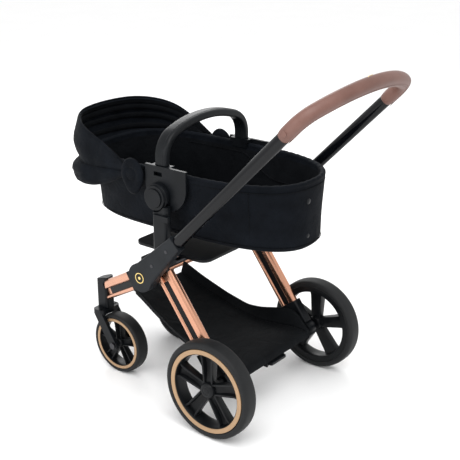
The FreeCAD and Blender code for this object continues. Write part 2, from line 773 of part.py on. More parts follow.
TUBE_START = 24.0
wall = dim("tube_wall") * 2
inside_across = dim("tube_across") - wall
inside_deep = dim("tube_deep") - wall
tube_outside = oval_bar("tube_outside", dim("tube_across"), dim("tube_deep"), TUBE_START, dim("tube_end"))
tube_inside = oval_bar("tube_inside", inside_across, inside_deep, TUBE_START - 2, dim("tube_end") + 2)
keep_pair("handle_tube", cut("handle_tube_left", tube_outside, tube_inside))

HOUSING_INNER = 231.6
HOUSING_OUTER = 262.0
housing_x = (HOUSING_INNER + HOUSING_OUTER) / 2
housing_thickness = HOUSING_OUTER - HOUSING_INNER
housing_disc = cylinder("housing_disc", dim("housing_radius"), housing_thickness, PIVOT + X_AXIS * HOUSING_INNER)
housing_profile = doc.addObject("PartDesign::Body", "housing_sleeve")
housing_sketch = sketch_on(housing_profile, "YZ_Plane")
draw_outline(
    housing_sketch,
    [
        (-dim("housing_radius") * 0.9, 14.0),
        (dim("housing_radius") * 0.9, 14.0),
        (23.5, dim("housing_length") - 12.0),
        (23.5, dim("housing_length")),
        (-23.5, dim("housing_length")),
        (-23.5, dim("housing_length") - 12.0),
    ],
)
housing_pad = padded(housing_profile, housing_sketch, housing_thickness, midplane=True)
doc.recompute()
rounded(housing_profile, housing_pad, 6.0, long_edges(housing_pad.Shape, Z_AXIS, 0.9))
housing_profile.Placement = Placement(PIVOT + X_AXIS * housing_x, TUBE_TURN)
housing_bore = cylinder("housing_bore", dim("shaft_radius") + dim("running_gap"), 26.0, PIVOT + X_AXIS * 230)
housing_solid = fused("housing_solid", housing_disc, housing_profile)
keep_pair("handle_joint", cut("handle_joint_left", housing_solid, tube_outside, housing_bore))

badge_face = PIVOT + X_AXIS * HOUSING_OUTER
badge_ring = cut(
    "badge_ring",
    cylinder("badge_outer", 16.0, 1.2, badge_face),
    cylinder("badge_inner", 13.4, 3.0, badge_face - X_AXIS),
)
badge_dot = cylinder("badge_dot", 4.5, 1.2, badge_face)
badge_left = group("badge_left", badge_ring, badge_dot)
keep("joint_badges", group("joint_badges", badge_left, mirrored("badge_right", badge_left)))

screws = []
for index, distance in enumerate((68.0, 146.0)):
    screws.append(cylinder(f"screw_{index}", 5.0, 1.0, on_tube(HOUSING_OUTER, distance)))
screws_left = group("screws_left", *screws)
keep("housing_screws", group("housing_screws", screws_left, mirrored("screws_right", screws_left)))

# Grip: two inner tubes that slide in the handle tubes and a padded crossbar.
GRIP_CORNER = 60.0
GRIP_SWEEP = 480.0
INNER_START = 510.0
slide_gap = dim("tube_wall") * 2 + 0.6
slide_across = dim("tube_across") - slide_gap
slide_deep = dim("tube_deep") - slide_gap
inner_tube = oval_bar("inner_tube", slide_across, slide_deep, INNER_START, dim("grip_start") + 24.0)
keep("inner_tubes", group("inner_tubes", inner_tube, mirrored("inner_tube_right", inner_tube)))

grip_shape = hoop(
    mm("tube_track"),
    mm("grip_apex"),
    GRIP_CORNER,
    GRIP_SWEEP,
    mm("grip_start"),
    mm("grip_across"),
    mm("grip_deep"),
)
grip_solid = feature("grip_solid", grip_shape, Placement(PIVOT, TUBE_TURN))
button_place = PIVOT + TUBE * (mm("grip_apex") - mm("grip_across") / 2)
grip_pocket = block("grip_pocket", 44.6, 16.6, 16.0, button_place + TUBE * 2, TUBE_TURN)
keep(
    "grip_bar",
    cut("grip_bar", grip_solid, inner_tube, mirrored("inner_tube_twin", inner_tube), grip_pocket),
)
keep("height_button", plate("height_button", 44.0, 16.0, 10.0, 4.0, button_place, TUBE_TURN))

GRIP_UP = TUBE_TURN.multVec(Vector(0, -1, 0))
badge_top = PIVOT + TUBE * mm("grip_apex") + GRIP_UP * (mm("grip_deep") / 2 + 0.2)
badge_turn = TUBE_TURN * Rotation(X_AXIS, 90)
keep("grip_badge", plate("grip_badge", 26.0, 12.0, 1.6, 5.0, badge_top, badge_turn))
rivet_x = mm("tube_track") + mm("grip_across") / 2 - 0.6
rivet = cylinder("rivet_left", 8.0, 2.0, on_tube(rivet_x, mm("grip_start") + 22))
keep("grip_rivets", group("grip_rivets", rivet, mirrored("rivet_right", rivet)))

# Brake pedal hinged behind the axle beam.
pedal_tread = plate("pedal_tread", 74.0, 17.0, 7.0, 5.0, at(0, PEDAL_Y + 9.5, PEDAL_Z + 3.5))
eye_half = PEDAL_HALF - 0.5
pedal_eye = cylinder("pedal_eye", 6.0, eye_half * 2, at(-eye_half, PEDAL_Y, PEDAL_Z))
pedal_bore = cylinder(
    "pedal_bore", dim("running_gap") + PEDAL_PIN_RADIUS, PEDAL_HALF * 2 + 10, at(-PEDAL_HALF - 5, PEDAL_Y, PEDAL_Z)
)
keep("brake_pedal", cut("brake_pedal", fused("pedal_solid", pedal_tread, pedal_eye), pedal_bore))


# ---------------------------------------------------------------------------------------------
# Basket: a fabric sling, narrow in front and wide at the axle
# ---------------------------------------------------------------------------------------------

BASKET_STATIONS = [
    # y, half width, floor height, rim height
    (-430.0, 108.0, 255.0, 304.0),
    (-330.0, 124.0, 214.0, 252.0),
    (-190.0, 150.0, 164.0, 197.0),
    (-90.0, 172.0, 152.0, 214.0),
    (-45.0, 178.0, 147.0, 222.0),
    (-19.0, 178.0, 144.0, 168.0),
]
BASKET_CLOTH = 4.0


def basket_section(y, half_width, floor, rim):
    inner = half_width - BASKET_CLOTH
    lean = 14.0
    corners = [
        (-half_width, rim),
        (lean - half_width, floor),
        (half_width - lean, floor),
        (half_width, rim),
        (inner, rim),
        (inner - lean, floor + BASKET_CLOTH),
        (lean - inner, floor + BASKET_CLOTH),
        (-inner, rim),
    ]
    points = [at(x, y, z) for x, z in corners]
    return Part.makePolygon(points + points[:1])


basket_shape = Part.makeLoft([basket_section(*station) for station in BASKET_STATIONS], True, True)
keep("basket", feature("basket", basket_shape))


# ---------------------------------------------------------------------------------------------
# Carrycot
# ---------------------------------------------------------------------------------------------

def egg(half_width, foot, head, middle_foot, middle_head, z, power=2.5, count=72):
    """Closed smooth outline in plan: two half superellipses joined by straight sides."""
    points = []
    for index in range(count):
        angle = 2 * math.pi * (index + 0.5) / count
        across = math.copysign(abs(math.cos(angle)) ** (2 / power), math.cos(angle)) * half_width
        along = abs(math.sin(angle)) ** (2 / power)
        if math.sin(angle) > 0:
            y = middle_foot + along * (foot - middle_foot)
        else:
            y = middle_head + along * (head - middle_head)
        points.append(at(across, y, z))
    curve = Part.BSplineCurve()
    curve.interpolate(points, PeriodicFlag=True)
    return Part.Wire([curve.toShape()])


def cot_wire(inset, z):
    """Outline of the carrycot at a height, the rim being wider than the underside."""
    share = (z - mm("cot_floor_z")) / (mm("cot_rim_z") - mm("cot_floor_z"))
    half = mm("cot_base_half_width") + (mm("cot_half_width") - mm("cot_base_half_width")) * share
    head = mm("cot_head") + 10.0 * (1 - share)
    return egg(half - inset, mm("cot_foot") - inset, head + inset, -179.0, -262.0, z)


EDGE_RISE = 16.0
edge_z = mm("cot_floor_z") + EDGE_RISE
outer_wires = [cot_wire(14.0, mm("cot_floor_z")), cot_wire(0, edge_z), cot_wire(0, mm("cot_rim_z"))]
outer_cot = Part.makeLoft(outer_wires, True, True)
well_floor = mm("cot_floor_z") + 14.0
inner_cot = Part.makeLoft(
    [cot_wire(mm("cot_wall"), well_floor), cot_wire(mm("cot_wall"), mm("cot_rim_z") + 5)], True, True
)
keep("cot_shell", feature("cot_shell", outer_cot.cut(inner_cot)))

MATTRESS_HIGH = 42.0
mattress_low = well_floor + 0.5
mattress_shape = Part.makeLoft(
    [cot_wire(mm("cot_wall") + 4, mattress_low), cot_wire(mm("cot_wall") + 9, mattress_low + MATTRESS_HIGH)],
    True,
    True,
)
keep("mattress", feature("mattress", mattress_shape))

# Brackets: a D-shaped outer plate, a saddle over the rim and an inner plate, with the hub pin.
PLATE_OUT = 8.5
bracket_x = mm("bracket_inner")


def d_plate(name, x, thickness, front, back, low, top):
    """Plate in the side view with a straight top and a half-round lower edge."""
    middle = (front + back) / 2
    shoulder = low + (top - low) * 0.55
    corners = [at(x, front, top), at(x, front, shoulder), at(x, middle, low), at(x, back, shoulder), at(x, back, top)]
    edges = [
        Part.LineSegment(corners[0], corners[1]).toShape(),
        Part.Arc(corners[1], corners[2], corners[3]).toShape(),
        Part.LineSegment(corners[3], corners[4]).toShape(),
        Part.LineSegment(corners[4], corners[0]).toShape(),
    ]
    return feature(name, Part.Face(Part.Wire(edges)).extrude(X_AXIS * thickness))


BRACKET_FRONT = -288.0
BRACKET_BACK = -140.0
BRACKET_LOW = 602.0
bracket_top = mm("bracket_top")
outer_plate = d_plate(
    "bracket_plate", bracket_x, PLATE_OUT, BRACKET_FRONT, BRACKET_BACK, BRACKET_LOW, bracket_top
)
SADDLE_INNER = 168.0
saddle_width = bracket_x + PLATE_OUT - SADDLE_INNER
SADDLE_LOW = 719.0
saddle_middle = at(SADDLE_INNER + saddle_width / 2, mm("hub_y"), (bracket_top + SADDLE_LOW) / 2)
saddle = block("bracket_saddle", saddle_width, 66.0, bracket_top - SADDLE_LOW, saddle_middle)
inner_plate = block("bracket_inner_plate", 4.6, 58.0, 26.0, at(SADDLE_INNER + 2.3, mm("hub_y"), bracket_top - 13))
hub_pin = cylinder("bracket_pin", HUB_PIN_RADIUS, 14.0, HUB + X_AXIS * (bracket_x + 4))
canopy_arm = block("canopy_arm", 3.4, 80.0, 22.0, at(bracket_x + 1.7, -318.0, mm("canopy_z")))
canopy_pin = cylinder("canopy_pin", 5.0, 13.0, CANOPY_PIVOT + X_AXIS * bracket_x)
canopy_cap = cylinder("canopy_cap", 9.0, 2.0, CANOPY_PIVOT + X_AXIS * 200.8)
window = block("bracket_window", 30.0, 30.0, 12.0, at(196.0, -241.0, 706.0))
tenon_room = block("tenon_room", 8.6, 24.6, 26.0, at(mm("bar_half_width"), mm("hub_y"), bracket_top + 1.5))
bracket_solid = fused(
    "bracket_solid", outer_plate, saddle, inner_plate, hub_pin, canopy_arm, canopy_pin, canopy_cap
)
bracket_left = cut("bracket_left", bracket_solid, tenon_room, window)
keep("cot_brackets", group("cot_brackets", bracket_left, mirrored("bracket_right", bracket_left)))

# Bumper bar with a flat tenon in each bracket.
BAR_CORNER = 70.0
BAR_SWEEP = 400.0
bar_foot = mm("bracket_top") + 0.4
bar_rise = mm("bar_apex") - bar_foot
bar_shape = hoop(
    mm("bar_half_width"), bar_rise, BAR_CORNER, BAR_SWEEP, 0.0, mm("bar_across"), mm("bar_deep")
)
bar_hoop = feature("bumper_hoop", bar_shape, Placement(HUB + Z_AXIS * (bar_foot - mm("hub_z")), UPRIGHT))
tenon = block("bar_tenon", 8.0, 24.0, 14.0, at(mm("bar_half_width"), mm("hub_y"), bar_foot - 4.5))
keep("bumper_bar", fused("bumper_bar", bar_hoop, tenon, mirrored("bar_tenon_right", tenon)))


# ---------------------------------------------------------------------------------------------
# Canopy: two bows on the same pivots, and the fabric folded between them
# ---------------------------------------------------------------------------------------------

def canopy_turn(angle):
    """Rotation that lays a local XZ hoop in the canopy plane at an angle above the horizontal."""
    return turned(in_side_view(180.0 - angle))


LINK_REACH = 34.0
LINK_WIDTH = 12.0
LINK_THICKNESS = 3.4


def canopy_bow(label, reach, angle, link_x):
    turn = canopy_turn(angle)
    rod_start = 28.0
    thick = mm("bow_radius") * 2
    rod = hoop(
        mm("bow_half_width"), reach, mm("bow_corner"), mm("bow_sweep"), rod_start, thick, thick
    )
    pieces = [feature(label + "_rod", rod, Placement(CANOPY_PIVOT, turn))]
    for side in (-1, 1):
        x = side * (link_x + LINK_THICKNESS / 2)
        middle = CANOPY_PIVOT + X_AXIS * x + turn.multVec(Z_AXIS) * (LINK_REACH / 2)
        link = block(f"{label}_link_{side + 1}", LINK_THICKNESS, LINK_WIDTH, LINK_REACH, middle, turn)
        eye_base = CANOPY_PIVOT + X_AXIS * (x - LINK_THICKNESS / 2)
        eye = cylinder(f"{label}_eye_{side + 1}", 9.0, LINK_THICKNESS, eye_base)
        pieces += [link, eye]
    hole = cylinder(label + "_hole", 5.0 + mm("running_gap"), 500.0, CANOPY_PIVOT - X_AXIS * 250)
    return cut(label, fused(label + "_solid", *pieces), hole)


MID_LINK_X = 192.3
FRONT_LINK_X = 196.2
for bow, link_x in (("mid_bow", MID_LINK_X), ("front_bow", FRONT_LINK_X)):
    label = "canopy_" + bow
    keep(label, canopy_bow(label, mm(bow + "_reach"), mm(bow + "_angle"), link_x))


def band(angle, half_width, reach, start):
    """Closed U-shaped band of the cloth's thickness in the canopy plane at an angle."""
    cloth = mm("cloth")
    outer = bow_edges(half_width, reach, mm("bow_corner"), mm("bow_sweep"), start)
    inner = bow_edges(
        half_width - cloth, reach - cloth, mm("bow_corner") - cloth, mm("bow_sweep") - cloth, start
    )
    caps = []
    for side in (-1, 1):
        outside = Vector(side * half_width, 0, start)
        inside = Vector(side * (half_width - cloth), 0, start)
        caps.append(Part.makeLine(outside, inside))
    wire = Part.Wire(Part.__sortEdges__(outer + [caps[0]] + inner + [caps[1]]))
    wire.Placement = Placement(CANOPY_PIVOT, canopy_turn(angle))
    return wire


def canopy_cloth(label, low, high, reach_low, reach_high, bulge, start):
    """Cloth between two canopy angles, standing out between them."""
    sections = []
    steps = 4
    for index in range(steps + 1):
        share = index / steps
        out = bulge * math.sin(math.pi * share)
        reach = reach_low + (reach_high - reach_low) * share + out
        sections.append(band(low + (high - low) * share, mm("bow_half_width") + out * 0.3, reach, start))
    return feature(label, Part.makeLoft(sections, True, False))


CLOTH_START = 122.0
keep("canopy_rear_cloth", canopy_cloth("canopy_rear_cloth", -21.0, -8.0, 320.0, 316.0, 26.0, CLOTH_START))
keep("canopy_front_cloth", canopy_cloth("canopy_front_cloth", 2.0, 18.0, 320.0, 330.0, 18.0, CLOTH_START))


# ---------------------------------------------------------------------------------------------
# Check and write
# ---------------------------------------------------------------------------------------------

doc.recompute()
for item in doc.Objects:
    if "Invalid" in item.State or "Error" in item.State:
        raise RuntimeError(f"{item.Name} failed: {item.State}")
os.makedirs("parts", exist_ok=True)
whole = FreeCAD.BoundBox()
for item in subparts:
    if item.Shape.isNull() or not item.Shape.isValid():
        raise RuntimeError(f"{item.Label} has no valid shape")
    item.Shape.exportStep(f"parts/{item.Label}.step")
    whole.add(item.Shape.optimalBoundingBox(False))
print(len(subparts), "sub-parts")
for axis in "XYZ":
    print(axis, round(getattr(whole, axis + "Min"), 2), round(getattr(whole, axis + "Max"), 2))
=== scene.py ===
import json
import math

import bpy
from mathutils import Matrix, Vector, noise


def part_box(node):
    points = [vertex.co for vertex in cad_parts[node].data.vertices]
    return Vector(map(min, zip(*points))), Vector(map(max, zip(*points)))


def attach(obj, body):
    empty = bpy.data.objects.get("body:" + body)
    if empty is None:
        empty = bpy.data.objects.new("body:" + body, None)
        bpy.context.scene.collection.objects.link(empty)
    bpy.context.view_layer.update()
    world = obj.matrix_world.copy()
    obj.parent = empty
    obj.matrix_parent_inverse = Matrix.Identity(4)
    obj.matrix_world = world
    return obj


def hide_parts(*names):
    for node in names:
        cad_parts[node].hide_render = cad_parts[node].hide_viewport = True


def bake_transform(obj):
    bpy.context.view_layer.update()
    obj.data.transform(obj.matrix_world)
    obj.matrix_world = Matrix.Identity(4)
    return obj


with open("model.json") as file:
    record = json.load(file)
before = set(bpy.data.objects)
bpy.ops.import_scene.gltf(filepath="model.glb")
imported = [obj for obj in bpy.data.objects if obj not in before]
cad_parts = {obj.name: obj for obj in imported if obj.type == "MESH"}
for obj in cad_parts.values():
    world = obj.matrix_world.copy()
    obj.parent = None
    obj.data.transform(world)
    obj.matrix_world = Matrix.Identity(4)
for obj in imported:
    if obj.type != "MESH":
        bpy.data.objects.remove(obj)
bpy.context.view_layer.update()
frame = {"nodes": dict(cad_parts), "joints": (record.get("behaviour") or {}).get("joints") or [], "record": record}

# All lengths are in metres, in the stroller's own frame: +X to the pusher's left, +Y to the pusher, +Z up.
MM = 0.001
SIDES = (("left", 1), ("right", -1))


def middle(node):
    low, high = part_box(node)
    return (low + high) / 2


AXLE_Y = middle("rear_tyre_left").y
PIVOT = middle("pivot_shaft")
HUB = middle("hub_button_left")
COT_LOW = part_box("cot_shell")[0]


def at(x, y, z):
    """Point in millimetres, its Y counted from the rear axle."""
    return Vector((x * MM, AXLE_Y + y * MM, z * MM))


def joint(name):
    return next(item for item in frame["joints"] if item["name"] == name)


CANOPY_PIVOT = Vector(joint("canopy_open")["pos_m"])


# ---------------------------------------------------------------------------------------------
# Materials
# ---------------------------------------------------------------------------------------------

def shader_material(name, color, roughness, **sockets):
    """Principled material with its uniform values on the shader's own sockets."""
    material = bpy.data.materials.new(name)
    material.use_nodes = True
    shader = material.node_tree.nodes["Principled BSDF"]
    shader.inputs["Base Color"].default_value = (*color, 1)
    shader.inputs["Roughness"].default_value = roughness
    for socket, value in sockets.items():
        shader.inputs[socket.replace("_", " ")].default_value = value
    return material


def texture(material, kind, scale, stretch=(1, 1, 1), turn=(0, 0, 0), **settings):
    """Texture node in the piece's own coordinates."""
    tree = material.node_tree
    place = tree.nodes.new("ShaderNodeTexCoord")
    mapping = tree.nodes.new("ShaderNodeMapping")
    mapping.inputs["Scale"].default_value = stretch
    mapping.inputs["Rotation"].default_value = turn
    node = tree.nodes.new(kind)
    node.inputs["Scale"].default_value = scale
    for key, value in settings.items():
        if hasattr(node, key):
            setattr(node, key, value)
        else:
            node.inputs[key.replace("_", " ")].default_value = value
    tree.links.new(place.outputs["Object"], mapping.inputs["Vector"])
    tree.links.new(mapping.outputs["Vector"], node.inputs["Vector"])
    return node


def ramp(material, source, low, high, start=0.3, end=0.7):
    """Values of a texture spread between two colours."""
    tree = material.node_tree
    node = tree.nodes.new("ShaderNodeValToRGB")
    node.color_ramp.elements[0].position = start
    node.color_ramp.elements[1].position = end
    node.color_ramp.elements[0].color = (*low, 1)
    node.color_ramp.elements[1].color = (*high, 1)
    tree.links.new(source, node.inputs["Fac"])
    return node.outputs["Color"]


def color_from(material, source, low, high, start=0.3, end=0.7):
    """Base colour that drifts between two colours with a texture."""
    shader = material.node_tree.nodes["Principled BSDF"]
    material.node_tree.links.new(ramp(material, source, low, high, start, end), shader.inputs["Base Color"])


def roughness_from(material, source, low, high):
    """Roughness that varies between two values with a texture."""
    tree = material.node_tree
    node = tree.nodes.new("ShaderNodeMapRange")
    node.inputs["To Min"].default_value = low
    node.inputs["To Max"].default_value = high
    tree.links.new(source, node.inputs["Value"])
    tree.links.new(node.outputs["Result"], tree.nodes["Principled BSDF"].inputs["Roughness"])


def bump(material, source, strength, distance):
    """Adds one more layer of bump under those the material has already."""
    tree = material.node_tree
    shader = tree.nodes["Principled BSDF"]
    node = tree.nodes.new("ShaderNodeBump")
    node.inputs["Strength"].default_value = strength
    node.inputs["Distance"].default_value = distance
    tree.links.new(source, node.inputs["Height"])
    if shader.inputs["Normal"].links:
        tree.links.new(shader.inputs["Normal"].links[0].from_socket, node.inputs["Normal"])
    tree.links.new(node.outputs["Normal"], shader.inputs["Normal"])


# Repeats in a metre of a wave texture of scale 1.
WAVE_REPEATS = 3.2


def fabric(name, dark, light, pitch=0.0011, rough=0.76):
    """Woven cloth: two crossed sets of threads, slubs, soft creases and a mottled colour."""
    material = shader_material(
        name, dark, rough, Sheen_Weight=0.014, Sheen_Roughness=0.4, Specular_IOR_Level=0.07
    )
    mottle = texture(material, "ShaderNodeTexNoise", 14.0, Detail=5.0, Roughness=0.6)
    color_from(material, mottle.outputs["Fac"], dark, light)
    for turn in ((0, 0, math.radians(45)), (math.radians(45), math.radians(45), 0)):
        threads = texture(material, "ShaderNodeTexWave", 1 / pitch / WAVE_REPEATS, turn=turn, Distortion=0.6)
        bump(material, threads.outputs["Fac"], 0.35, 0.00025)
    slub = texture(material, "ShaderNodeTexNoise", 420.0, Detail=3.0)
    bump(material, slub.outputs["Fac"], 0.4, 0.0004)
    creases = texture(material, "ShaderNodeTexNoise", 15.0, Detail=4.0, Distortion=1.1)
    bump(material, creases.outputs["Fac"], 0.55, 0.010)
    roughness_from(material, slub.outputs["Fac"], rough - 0.1, min(rough + 0.1, 1))
    return material


def leather(name, dark, light, rough, grain=520.0, depth=0.00022, specular=0.4):
    """Grained hide: pores, fine creases and a patina in colour and gloss."""
    material = shader_material(name, dark, rough, Specular_IOR_Level=specular)
    patina = texture(material, "ShaderNodeTexNoise", 9.0, Detail=6.0, Roughness=0.62)
    color_from(material, patina.outputs["Fac"], dark, light)
    pores = texture(material, "ShaderNodeTexVoronoi", grain)
    bump(material, pores.outputs["Distance"], 0.55, depth)
    creases = texture(material, "ShaderNodeTexNoise", 150.0, Detail=8.0, Roughness=0.7)
    bump(material, creases.outputs["Fac"], 0.3, depth * 2)
    roughness_from(material, patina.outputs["Fac"], rough - 0.1, rough + 0.14)
    return material


def plastic(name, color, rough, grain=1400.0, depth=0.00008):
    """Moulded plastic with a fine spark-eroded grain and a faint cloudiness."""
    lighter = tuple(min(1, part * 1.5 + 0.002) for part in color)
    material = shader_material(name, color, rough, Specular_IOR_Level=0.17)
    cloud = texture(material, "ShaderNodeTexNoise", 22.0, Detail=5.0)
    color_from(material, cloud.outputs["Fac"], color, lighter, 0.35, 0.8)
    spark = texture(material, "ShaderNodeTexNoise", grain, Detail=2.0)
    bump(material, spark.outputs["Fac"], 0.5, depth)
    roughness_from(material, cloud.outputs["Fac"], rough - 0.07, rough + 0.1)
    return material


def metal(name, color, rough, metallic=1.0, specular=0.5):
    """Smooth metal or lacquer: a slow drift of colour, a slight orange peel and faint scuffs."""
    lighter = tuple(min(1, part * 1.1) for part in color)
    material = shader_material(name, color, rough, Metallic=metallic, Specular_IOR_Level=specular)
    drift = texture(material, "ShaderNodeTexNoise", 7.0, Detail=3.0)
    color_from(material, drift.outputs["Fac"], color, lighter, 0.3, 0.75)
    orange_peel = texture(material, "ShaderNodeTexNoise", 160.0, Detail=1.0)
    bump(material, orange_peel.outputs["Fac"], 0.05, 0.00012)
    scuffs = texture(material, "ShaderNodeTexNoise", 24.0, Detail=7.0)
    roughness_from(material, scuffs.outputs["Fac"], rough - 0.03, rough + 0.05)
    return material


def rubber(name, dark, light):
    """Matt rubber with grit and dust."""
    material = shader_material(name, dark, 0.62, Specular_IOR_Level=0.3)
    dust = texture(material, "ShaderNodeTexNoise", 30.0, Detail=7.0, Roughness=0.65)
    color_from(material, dust.outputs["Fac"], dark, light, 0.4, 0.8)
    grit = texture(material, "ShaderNodeTexNoise", 900.0, Detail=3.0)
    bump(material, grit.outputs["Fac"], 0.5, 0.00015)
    roughness_from(material, dust.outputs["Fac"], 0.5, 0.78)
    return material


BLACK_FABRIC = fabric("black_fabric", (0.0018, 0.0026, 0.0042), (0.0048, 0.0064, 0.0094))
LINING = fabric("lining_fabric", (0.0016, 0.0021, 0.0030), (0.0040, 0.0048, 0.0062), pitch=0.0016)
BASKET_FABRIC = fabric("basket_fabric", (0.0030, 0.0036, 0.0044), (0.0064, 0.0074, 0.0086), pitch=0.0018)
MATTRESS_FABRIC = fabric("mattress_fabric", (0.0020, 0.0026, 0.0038), (0.0050, 0.0060, 0.0080), pitch=0.0022)
BROWN_LEATHER = leather("brown_leather", (0.118, 0.053, 0.040), (0.176, 0.088, 0.070), rough=0.46)
LEATHERETTE = leather(
    "black_leatherette", (0.0032, 0.0040, 0.0050), (0.0072, 0.0084, 0.0100), rough=0.38, specular=0.16
)
BLACK_PLASTIC = plastic("black_plastic", (0.0030, 0.0038, 0.0050), rough=0.36)
SATIN_PLASTIC = plastic("satin_plastic", (0.0056, 0.0066, 0.0080), rough=0.30)
CHARCOAL = plastic("charcoal_plastic", (0.0080, 0.0095, 0.0115), rough=0.42)
RIM_PLASTIC = plastic("rim_plastic", (0.0036, 0.0042, 0.0050), rough=0.34)
DARK_INLAY = plastic("dark_inlay", (0.003, 0.0032, 0.0036), rough=0.5)
TYRE_RUBBER = rubber("tyre_rubber", (0.0055, 0.0062, 0.0070), (0.0105, 0.0112, 0.0122))
ROSE_GOLD = metal("rose_gold", (0.60, 0.31, 0.205), rough=0.24)
COPPER_TRIM = metal("copper_trim", (0.37, 0.235, 0.130), rough=0.42, metallic=0.2)
BLACK_TUBE = metal("black_tube", (0.0020, 0.0024, 0.0034), rough=0.13, metallic=0.0, specular=0.26)
GOLD = metal("gold", (0.83, 0.62, 0.24), rough=0.25)
TUBE_SILVER = metal("tube_silver", (0.30, 0.30, 0.32), rough=0.25)
DARK_STEEL = metal("dark_steel", (0.06, 0.06, 0.065), rough=0.32)

SLOT_LOOK = {
    "tyre_rubber": TYRE_RUBBER,
    "rim_plastic": RIM_PLASTIC,
    "copper_trim": COPPER_TRIM,
    "rose_gold": ROSE_GOLD,
    "dark_inlay": DARK_INLAY,
    "black_plastic": BLACK_PLASTIC,
    "charcoal_plastic": CHARCOAL,
    "black_tube": BLACK_TUBE,
    "tube_silver": TUBE_SILVER,
    "dark_steel": DARK_STEEL,
    "gold": GOLD,
    "brown_leather": BROWN_LEATHER,
    "black_leatherette": LEATHERETTE,
    "black_fabric": BLACK_FABRIC,
    "mattress_fabric": MATTRESS_FABRIC,
    "basket_fabric": BASKET_FABRIC,
}


# ---------------------------------------------------------------------------------------------
# CAD nodes that stay: a material each and softened edges
# ---------------------------------------------------------------------------------------------

# Bevel widths in millimetres where they aren't 1; parts that are round already get none.
EDGE = {"rose_gold": 0.0, "black_tube": 0.0, "gold": 0.2, "dark_inlay": 0.0}

for part in frame["record"]["subparts"]:
    node = frame["nodes"][part["node"]]
    node.data.materials.clear()
    node.data.materials.append(SLOT_LOOK[part["material_slot"]])
    width = EDGE.get(part["material_slot"], 1.0)
    if width:
        weld = node.modifiers.new("weld", "WELD")
        weld.merge_threshold = 0.00001
        bevel = node.modifiers.new("bevel", "BEVEL")
        bevel.width = width * MM
        bevel.segments = 2
        bevel.limit_method = "ANGLE"
        bevel.angle_limit = math.radians(35)


# ---------------------------------------------------------------------------------------------
# Mesh helpers
# ---------------------------------------------------------------------------------------------

def piece(name, shapes, material, body=None):
    """Smooth mesh object of one shape or several, each a pair of points and faces."""
    points = []
    faces = []
    for shape_points, shape_faces in shapes if isinstance(shapes, list) else [shapes]:
        first = len(points)
        points += [tuple(p) for p in shape_points]
        faces += [tuple(first + index for index in face) for face in shape_faces]
    data = bpy.data.meshes.new(name)
    data.from_pydata(points, [], faces)
    data.validate()
    data.materials.append(material)
    data.polygons.foreach_set("use_smooth", [True] * len(data.polygons))
    data.update()
    made = bpy.data.objects.new(name, data)
    bpy.context.scene.collection.objects.link(made)
    if body:
        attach(made, body)
    return made


def loft(rings, caps=True, close_rows=False, close_columns=True):
    """Shape of a skin over rings of equal length; caps close the first and the last ring."""
    count = len(rings[0])
    rows = len(rings)
    points = [p for ring in rings for p in ring]
    faces = []
    for row in range(rows if close_rows else rows - 1):
        for column in range(count if close_columns else count - 1):
            next_row = (row + 1) % rows
            next_column = (column + 1) % count
            corners = (
                row * count + column,
                row * count + next_column,
                next_row * count + next_column,
                next_row * count + column,
            )
            faces.append(corners)
    if caps and not close_rows:
        faces.append(tuple(reversed(range(count))))
        faces.append(tuple(range(len(points) - count, len(points))))
    return points, faces


def sweep(path, section, closed=False, normal=None, caps=True):
    """Shape of a section (pairs of across and up, or a function of the share of the path) on a path."""
    rings = []
    count = len(path)
    side = None
    for index, point in enumerate(path):
        before = path[index - 1] if index or closed else point
        after = path[(index + 1) % count] if index < count - 1 or closed else point
        along = (after - before).normalized()
        if normal is not None:
            side = along.cross(normal).normalized()
        elif side is None:
            helper = Vector((0, 0, 1)) if abs(along.z) < 0.9 else Vector((1, 0, 0))
            side = along.cross(helper).normalized()
        else:
            side = (side - along * side.dot(along)).normalized()
        up = side.cross(along).normalized()
        outline = section(index / (count - 1)) if callable(section) else section
        rings.append([point + side * a + up * u for a, u in outline])
    return loft(rings, caps=caps and not closed, close_rows=closed)


def ellipse(across, up, count):
    """Section of two half widths."""
    turns = [2 * math.pi * k / count for k in range(count)]
    return [(across * math.cos(turn), up * math.sin(turn)) for turn in turns]


def circle(radius, count):
    return ellipse(radius, radius, count)


def between(first, last, share):
    """Numbers part of the way from one tuple to another."""
    return tuple(a + (b - a) * share for a, b in zip(first, last))


def rounded_section(across, up, power, count):
    """Superellipse of two full widths."""
    outline = []
    for k in range(count):
        angle = 2 * math.pi * k / count
        c, s = math.cos(angle), math.sin(angle)
        outline.append(
            (
                math.copysign(abs(c) ** (2 / power), c) * across / 2,
                math.copysign(abs(s) ** (2 / power), s) * up / 2,
            )
        )
    return outline


def lathe(profile, centre, side, segments=128, closed=True):
    """Shape of a profile of (radius, outward) pairs turned about a wheel's axle."""
    rings = []
    for k in range(segments):
        angle = 2 * math.pi * k / segments
        ring = []
        for radius, out in profile:
            offset = Vector((out * side, radius * math.cos(angle) * side, radius * math.sin(angle)))
            ring.append(centre + offset)
        rings.append(ring)
    return loft(rings, close_rows=True, close_columns=closed)


def smooth(made):
    made.data.polygons.foreach_set("use_smooth", [True] * len(made.data.polygons))


def modify(made, kind, **settings):
    modifier = made.modifiers.new(kind.lower(), kind)
    for key, value in settings.items():
        setattr(modifier, key, value)


def freeze(made):
    """Turns the modifiers' result into the piece's own mesh."""
    bpy.context.view_layer.update()
    result = made.evaluated_get(bpy.context.evaluated_depsgraph_get())
    made.data = bpy.data.meshes.new_from_object(result)
    made.modifiers.clear()


